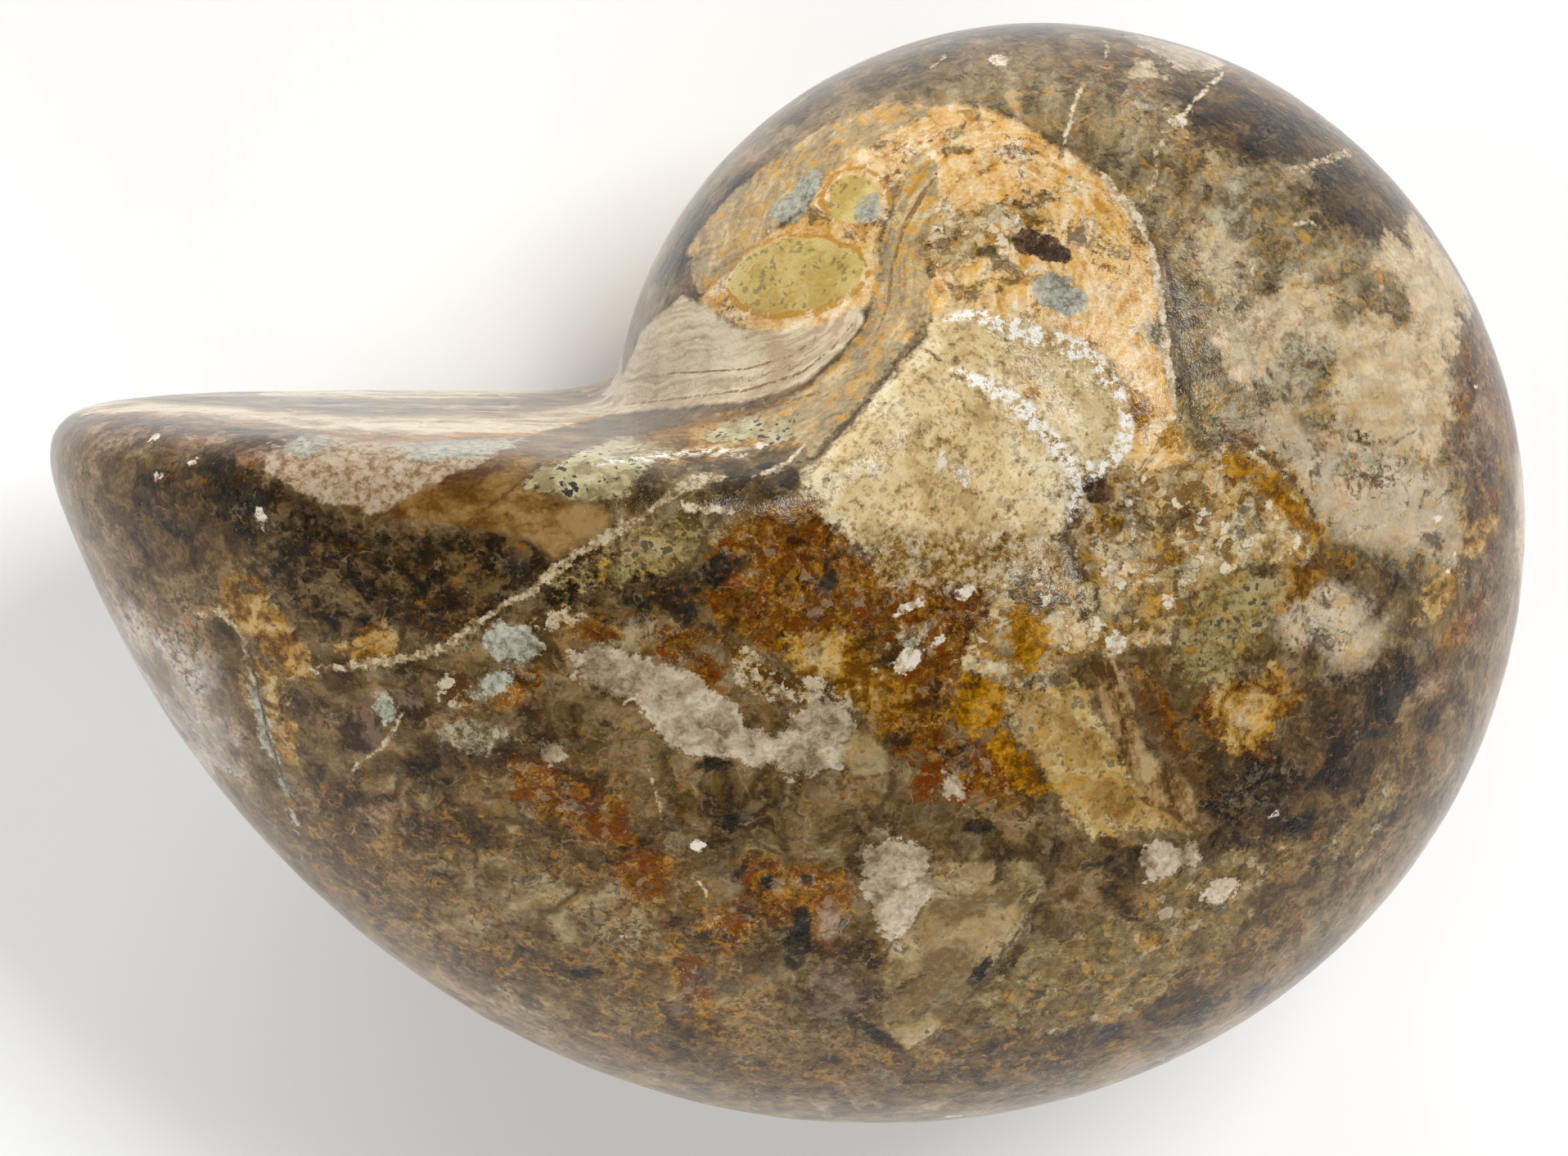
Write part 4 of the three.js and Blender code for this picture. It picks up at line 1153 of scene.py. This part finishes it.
paint = {
    "ground": [(52, 38, 22), (85, 67, 42), (112, 94, 68), (140, 124, 98)],
    # what lies in the kinds: shade, where its noise starts to show and how softly
    "strewn": {
        "steel": ((134, 132, 116), 0.54, 0.08),
        "nuggets": ((202, 150, 72), 0.55, 0.06),
        "brick": ((98, 46, 18), 0.49, 0.08),
        "dots": ((50, 50, 42), -0.3, 0.08),
        "specks": ((226, 214, 194), 0.89, 0.05),
        "chips": ((220, 208, 186), 0.06, 0.06),
        "web": ((70, 46, 22), -0.1, 0.1),
    },
    "chippedCells": (0.9, 0.02),          # which cells are chips, and how sharply
    "contrast": 2.2,
    "grimeOver": "inkBlack",              # the last kind that the grime covers
    # kinds with less grime on them
    "cleaner": {"creamHill": 0.85, "goldSpeckle": 0.5, "offWhite": 0.8},
    # what the grime is made of: shade, strength, where its noise starts to show and how softly
    "grime": {
        "blotches": ((34, 24, 14), 0.75, 0.54, 0.09),
        "umberSpecks": ((64, 42, 20), 0.75, 1.02, 0.06),
        "paleSpecks": ((190, 170, 134), 0.15, -0.76, 0.06),
        "rustSpecks": ((146, 92, 38), 0.6, 0.99, 0.1),
        "crackle": ((64, 44, 24), 0.4, -0.05, 0.05),
    },
    # only where the cloud noise is high
    "inClouds": {"rustSpecks": (0.46, 0.1), "crackle": (0.48, 0.1)},
    # hues that drift over the grimy stone: shade, noise scale, offset, where it starts, strength
    "tints": [((140, 106, 60), 0.28, 210, 0.54, 0.22), ((126, 126, 112), 0.4, 260, 0.57, 0.4),
              ((168, 128, 50), 0.6, 310, 0.54, 0.45)],
    # thin winding lines: shade, noise scale, offset
    "veinlets": [((70, 44, 20), 0.2, 90), ((186, 166, 130), 0.16, 140), ((96, 62, 24), 0.34, 170)],
    "veinletHalf": 0.012,
    "veinletStrength": 0.3,
    "dust": ((120, 104, 84), 0.22),       # darkens the grain all over
    # the face over the opening: its layers' shades, their stretch, and millimetres that they sway
    "mouthShades": [(66, 50, 33), (126, 103, 74), (182, 163, 132), (210, 195, 167)],
    "mouthStretch": (0.14, 1, 0.6),
    "mouthSway": 14,
    "mouthMottle": 8,
    "brownBand": ((9, 5), (26, 6)),       # millimetres under the rim where it sets in and dies out
    "brownDip": 0.26,
    "mouthRimShade": (176, 116, 48),
    "roughness": {"least": 0.15, "grain": 0.2, "mottle": 0.15, "lines": 0.12},
    "warmth": 1.1,
    "dimming": 0.97,
    "glassiness": 1.42,                   # the polish's index of refraction
    "bumpHeight": 0.00014,                # metres
}


def push(board, place, name):
    # moves a place up to half as far as the weave says, each way
    far = weave[name]
    wander = board.noise(place, *noises[name], "Color")
    return board.vector("MULTIPLY_ADD", wander, (far,) * 3, (-far / 2,) * 3)


def stoneFields(board):
    # the noises that every kind of stone shares
    inMetres = board.add("ShaderNodeTexCoord", {}, {}, "Object")
    place = board.scaled(inMetres, 1 / millimetre)
    broadPush = push(board, place, "broadPush")
    finePush = push(board, place, "finePush")
    broad = board.vector("ADD", place, broadPush)
    nearby = board.vector("ADD", place, finePush)
    pushed = board.vector("ADD", broad, finePush)

    # streaks run outwards from the coil's axis, and the flow follows the layers of the inner whorl
    fromAxis = board.vector("SUBTRACT", place, tuple(axisPoint))
    outwards = board.vector("NORMALIZE", board.vector("MULTIPLY", fromAxis, (1, 1, 0)))
    turning = board.scaled(outwards, weave["streakTurn"])
    spread = board.vector("MULTIPLY_ADD", fromAxis, weave["streakScale"], turning)
    bend = board.noise(place, *noises["bend"]) * weave["bend"]
    across = (board.attribute("flowAcross") + bend) * weave["flowAcross"]
    along = board.attribute("flowAlong") * weave["flowAlong"]
    flowing = board.add("ShaderNodeCombineXYZ", {}, {0: along, 1: across, 2: 0})

    cell = board.cells(nearby, weave["cellScale"], "Color")
    cellEdge = board.cells(nearby, weave["cellScale"], "Distance", "DISTANCE_TO_EDGE")
    chosen = board.add("ShaderNodeSeparateColor", {}, {0: cell}, 1).over(*paint["chippedCells"])
    slow = board.noise(broad, *noises["slow"])
    fields = {
        "place": place,
        "pushed": pushed,
        "cloud": board.noise(pushed, *noises["cloud"]),
        "mottle": board.noise(pushed, *noises["mottle"]),
        "grain": board.noise(place, *noises["grain"]),
        "streak": board.noise(board.vector("ADD", spread, finePush), *noises["streak"]),
        "flow": board.noise(flowing, *noises["flow"]),
        "cells": board.add("ShaderNodeSeparateColor", {}, {0: cell}, 0),
        "bands": (slow * weave["bands"]).maths("PINGPONG", 1),
    }
    fields["centred"] = {name: fields[name] - 0.5 for name in
                         ("cloud", "mottle", "grain", "streak", "flow", "cells", "bands")}
    fields["edges"] = [shifted(board, place, (40 * i, 25, 10), "edges") - 0.5 for i in (1, 2, 3)]
    lumps = shifted(board, pushed, (50, 33, 8), "lumps")
    spots = board.cells(nearby, weave["dotScale"], "Distance")
    centred = fields["centred"]
    around = centred["grain"] * weave["dotGrain"] + centred["mottle"] * weave["dotMottle"]
    whites = board.noise(place, *noises["whiteSpecks"]) + fields["mottle"] * weave["speckMottle"]
    strewn = {
        "steel": 1 - lumps,
        "nuggets": lumps,
        "brick": shifted(board, pushed, (9, 53, 28), "brick"),
        "dots": around - spots,
        "specks": whites,
        "chips": cellEdge,
        "web": 0 - cellEdge,
    }
    fields["strewn"] = {name: value.over(*paint["strewn"][name][1:]) for name, value in strewn.items()}
    fields["strewn"]["chips"] = chosen * fields["strewn"]["chips"]
    return fields


def shifted(board, place, amount, name):
    # one of the noises, looked up somewhere else so that it doesn't repeat another
    return board.noise(board.vector("ADD", place, amount), *noises[name])


def kindOfStone(board, fields, under, kind, edge):
    settings = kinds[kind]
    tone = 0.5
    for drive, share in settings["drive"].items():
        tone = fields["centred"][drive].maths("MULTIPLY_ADD", share * paint["contrast"], tone)
    colour = board.ramp(tone, settings["shades"])
    for extra, there in fields["strewn"].items():
        if extra in settings:
            colour = board.tint(colour, paint["strewn"][extra][0], there * settings[extra])
    rim = edge * (2 * settings["ragged"])
    if "crumbs" in settings:
        rim = fields["centred"]["grain"].maths("MULTIPLY_ADD", 2 * settings["crumbs"], rim)
    soft = settings["soft"]
    there = (rim - board.attribute(kind)).over(-soft / 2, soft)
    return board.mix(under, colour, there), there


def grime(board, fields, colour, masks):
    # what lies over the coarser kinds: dark clouds, umber and pale specks, a fine crackle;
    # less of it towards the round outside
    place, pushed = fields["place"], fields["pushed"]
    onFlank = board.attribute("height").size().over(2, 14) * 0.3 + 0.7
    for kind, share in paint["cleaner"].items():
        onFlank = onFlank * (1 - masks[kind] * share)
    clusters = fields["cloud"] * 0.8 + shifted(board, place, (30, 4, 61), "bits")
    rusty = shifted(board, place, (80, 4, 11), "rusty") + fields["mottle"] * 0.8
    parts = {
        "blotches": shifted(board, pushed, (9, 70, 3), "blotches"),
        "umberSpecks": clusters,
        "paleSpecks": 0 - clusters,
        "rustSpecks": rusty,
        "crackle": 0 - board.cells(pushed, weave["crackScale"], "Distance", "DISTANCE_TO_EDGE"),
    }
    for name, value in parts.items():
        shade, strength, start, soft = paint["grime"][name]
        there = value.over(start, soft)
        if name in paint["inClouds"]:
            there = there * fields["cloud"].over(*paint["inClouds"][name])
        colour = board.tint(colour, shade, there * onFlank * strength)
    for shade, scale, offset, start, strength in paint["tints"]:
        there = board.noise(board.vector("ADD", pushed, (offset, 8, 30)), scale, 4, 0.7).over(start, 0.08)
        colour = board.tint(colour, shade, there * onFlank * strength, "COLOR")
    partly = board.noise(place, *noises["partly"]).over(0.5, 0.12)
    half = paint["veinletHalf"]
    for shade, scale, offset in paint["veinlets"]:
        # where a slow noise crosses its middle
        contour = (board.noise(board.vector("ADD", pushed, (offset, 12, 5)), scale, 2, 0.5) - 0.5).size()
        there = (half - contour).over(0, half) * partly
        colour = board.tint(colour, shade, there * onFlank * paint["veinletStrength"])
    return colour


def mouthFace(board, fields, colour):
    # the flat face over the opening: cream layers with brown cloudy bands that run its length
    stretched = board.vector("MULTIPLY", fields["place"], paint["mouthStretch"])
    layers = board.noise(stretched, *noises["layers"]) - 0.5
    mottle, grain = fields["centred"]["mottle"], fields["centred"]["grain"]
    depth = board.attribute("mouthDepth") + layers * paint["mouthSway"] + mottle * paint["mouthMottle"]
    setsIn, diesOut = paint["brownBand"]
    brown = depth.over(*setsIn) * (1 - depth.over(*diesOut))
    tone = layers * 0.8 + mottle * 0.9 + grain * 0.4 + 0.6 - brown * paint["brownDip"]
    face = board.ramp(tone, paint["mouthShades"], 0.3, 0.7)
    face = board.tint(face, paint["mouthRimShade"], (1.3 - depth).over(0, 0.8) * 0.8)
    there = (fields["edges"][0] * 1.6 - board.attribute("mouth")).over(-0.2, 0.4)
    return board.mix(colour, face, there)


def veinsSeamsAndHighlights(board, fields, colour):
    # every group of lines, the painted highlight lines among them, and where any of them is
    breadth = fields["mottle"] * 1.6 + fields["grain"] * 1.8 - 0.95
    lines = None
    for group, settings in veins.items():
        wander = fields["edges"][len(group) % 3] * (2 * settings["wander"])
        beside = (board.attribute(group + "Side") + wander).size()
        width = board.attribute(group + "Width") * breadth
        there = (width - beside).over(-settings["soft"] / 2, settings["soft"])
        there = there * fields["grain"].over(*settings["breaks"])
        colour = board.mix(colour, board.ramp(fields["grain"], settings["shades"], 0.4, 0.6), there)
        lines = there if lines is None else lines.maths("MAXIMUM", there)
    return colour, lines


def polishedStone():
    board = Board("polishedStone")
    fields = stoneFields(board)
    place, mottle, grain = fields["place"], fields["centred"]["mottle"], fields["centred"]["grain"]
    colour = board.ramp(mottle * 0.9 + fields["centred"]["cloud"] * 0.6 + 0.5, paint["ground"])
    masks = {}
    for i, kind in enumerate(kinds):
        colour, masks[kind] = kindOfStone(board, fields, colour, kind, fields["edges"][i % 3])
        if kind == paint["grimeOver"]:
            colour = grime(board, fields, colour, masks)
    colour, lines = veinsSeamsAndHighlights(board, fields, colour)
    colour = mouthFace(board, fields, colour)
    shade, strength = paint["dust"]
    colour = board.tint(colour, shade, fields["grain"].over(0.52, 0.16) * strength, "MULTIPLY")
    colour = board.add("ShaderNodeHueSaturation", {}, {
        "Saturation": paint["warmth"], "Value": paint["dimming"], "Color": colour})

    share = paint["roughness"]
    rough = grain * share["grain"] + mottle * share["mottle"] + lines * share["lines"] + share["least"]
    # where the painted highlight lines lie; the sparkle bump is stronger there
    crust = (board.attribute("crustWidth") + 0.4 - board.attribute("crustSide").size()).over(0, 0.5)
    sparkle = board.noise(place, *noises["sparkle"])
    bumps = sparkle * (crust * 1.4 + 0.35) + board.noise(place, *noises["bumps"])
    normal = board.add("ShaderNodeBump", {}, {
        "Strength": 0.6, "Distance": paint["bumpHeight"], "Height": bumps}, "Normal")
    surface = board.add("ShaderNodeBsdfPrincipled", {}, {
        "Base Color": colour, "Roughness": rough, "Normal": normal, "IOR": paint["glassiness"]})
    board.add("ShaderNodeOutputMaterial", {}, {"Surface": surface})
    print("material of", len(board.tree.nodes), "nodes")
    return board.material


# floor, light and camera

def plainMaterial(name, shade, roughness):
    board = Board(name)
    inputs = {"Base Color": linear(shade), "Roughness": roughness}
    surface = board.add("ShaderNodeBsdfPrincipled", {}, inputs)
    board.add("ShaderNodeOutputMaterial", {}, {"Surface": surface})
    return board.material


studio = {
    "floor": {"size": 6, "shade": (250, 250, 250), "roughness": 0.7},        # metres
    "overhead": 0.10, "around": 0.65,     # brightness of the room above and near the horizon
    "horizon": (0.55, 0.30),              # where the one turns into the other, as the sky's height
    "mirrored": "window",                 # the one lamp that shows in the polish
    # each lamp: its bearing and its angle from straight above (degrees), distance and size (metres), power
    "lamps": {
        "window": {"bearing": 40, "fromTop": 33, "away": 1.15, "size": (0.55, 0.32), "watts": 7.5},
        "upperPanel": {"bearing": 100, "fromTop": 73, "away": 1.2, "size": (0.9, 0.3), "watts": 9.5},
        "leftPanel": {"bearing": 205, "fromTop": 74, "away": 1.2, "size": (0.9, 0.3), "watts": 10},
        "lowerPanel": {"bearing": 305, "fromTop": 74, "away": 1.2, "size": (0.9, 0.3), "watts": 10},
    },
}


def makeFloor():
    settings = studio["floor"]
    bpy.ops.mesh.primitive_plane_add(size=settings["size"])
    floor = bpy.context.object
    floor.name = "paleFloor"
    floor.data.materials.append(plainMaterial("paleFloor", settings["shade"], settings["roughness"]))


def makeRoom():
    world = bpy.data.worlds.new("studio")
    bpy.context.scene.world = world
    world.use_nodes = True
    tree = world.node_tree
    towards = tree.nodes.new("ShaderNodeTexCoord")
    parts = tree.nodes.new("ShaderNodeSeparateXYZ")
    change = tree.nodes.new("ShaderNodeMapRange")
    change.interpolation_type = "SMOOTHSTEP"
    limits = (*studio["horizon"], studio["overhead"], studio["around"])
    for name, value in zip(("From Min", "From Max", "To Min", "To Max"), limits):
        change.inputs[name].default_value = value
    tree.links.new(towards.outputs["Generated"], parts.inputs[0])
    tree.links.new(parts.outputs["Z"], change.inputs["Value"])
    tree.links.new(change.outputs[0], tree.nodes["Background"].inputs["Strength"])
    tree.nodes["Background"].inputs["Color"].default_value = (1, 1, 1, 1)


def makeLamp(name, settings):
    light = bpy.data.lights.new(name, "AREA")
    light.shape = "RECTANGLE"
    light.size, light.size_y = settings["size"]
    light.energy = settings["watts"]
    lamp = bpy.data.objects.new(name, light)
    bearing, fromTop = math.radians(settings["bearing"]), math.radians(settings["fromTop"])
    aside = Vector((math.cos(bearing), math.sin(bearing), 0)) * math.sin(fromTop)
    towards = aside + Vector((0, 0, math.cos(fromTop)))
    lamp.location = towards * settings["away"]
    lamp.visible_glossy = name == studio["mirrored"]
    lamp.rotation_euler = (-towards).to_track_quat("-Z", "Y").to_euler()
    bpy.context.scene.collection.objects.link(lamp)


camera = {
    "back": (-0.0685, -0.0318, 0.9971),   # from the stone to the camera
    "up": (0.0296, 0.999, 0.0339),
    "target": (0, 0, 0.030),              # metres, as are the next three
    "away": 0.5,
    "aside": (-0.000837, -0.000041),
    "frameWidth": 0.1167,                 # what the view takes in at that distance
    "sensor": 36,
}


def makeCamera():
    back = Vector(camera["back"]).normalized()
    right = Vector(camera["up"]).cross(back).normalized()
    up = back.cross(right)
    data = bpy.data.cameras.new("camera")
    data.sensor_width = camera["sensor"]
    data.lens = camera["sensor"] * camera["away"] / camera["frameWidth"]
    aside, above = camera["aside"]
    eye = Vector(camera["target"]) + camera["away"] * back + aside * right + above * up
    viewer = bpy.data.objects.new("camera", data)
    viewer.matrix_world = Matrix.Translation(eye) @ Matrix((right, up, back)).transposed().to_4x4()
    bpy.context.scene.collection.objects.link(viewer)
    bpy.context.scene.camera = viewer


# all together

makeCamera()
nautilus = polishedCopy()
print("smoothed copy:", len(nautilus.data.vertices), "points,", len(nautilus.data.polygons), "faces")
layOutStone(nautilus)
carve(nautilus)
nautilus.data.materials.append(polishedStone())
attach(nautilus, "root")
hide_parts("fossil_nautilus")
makeFloor()
makeRoom()
for name, settings in studio["lamps"].items():
    makeLamp(name, settings)
bpy.context.scene.view_settings.view_transform = "Standard"

print("all pieces in place")
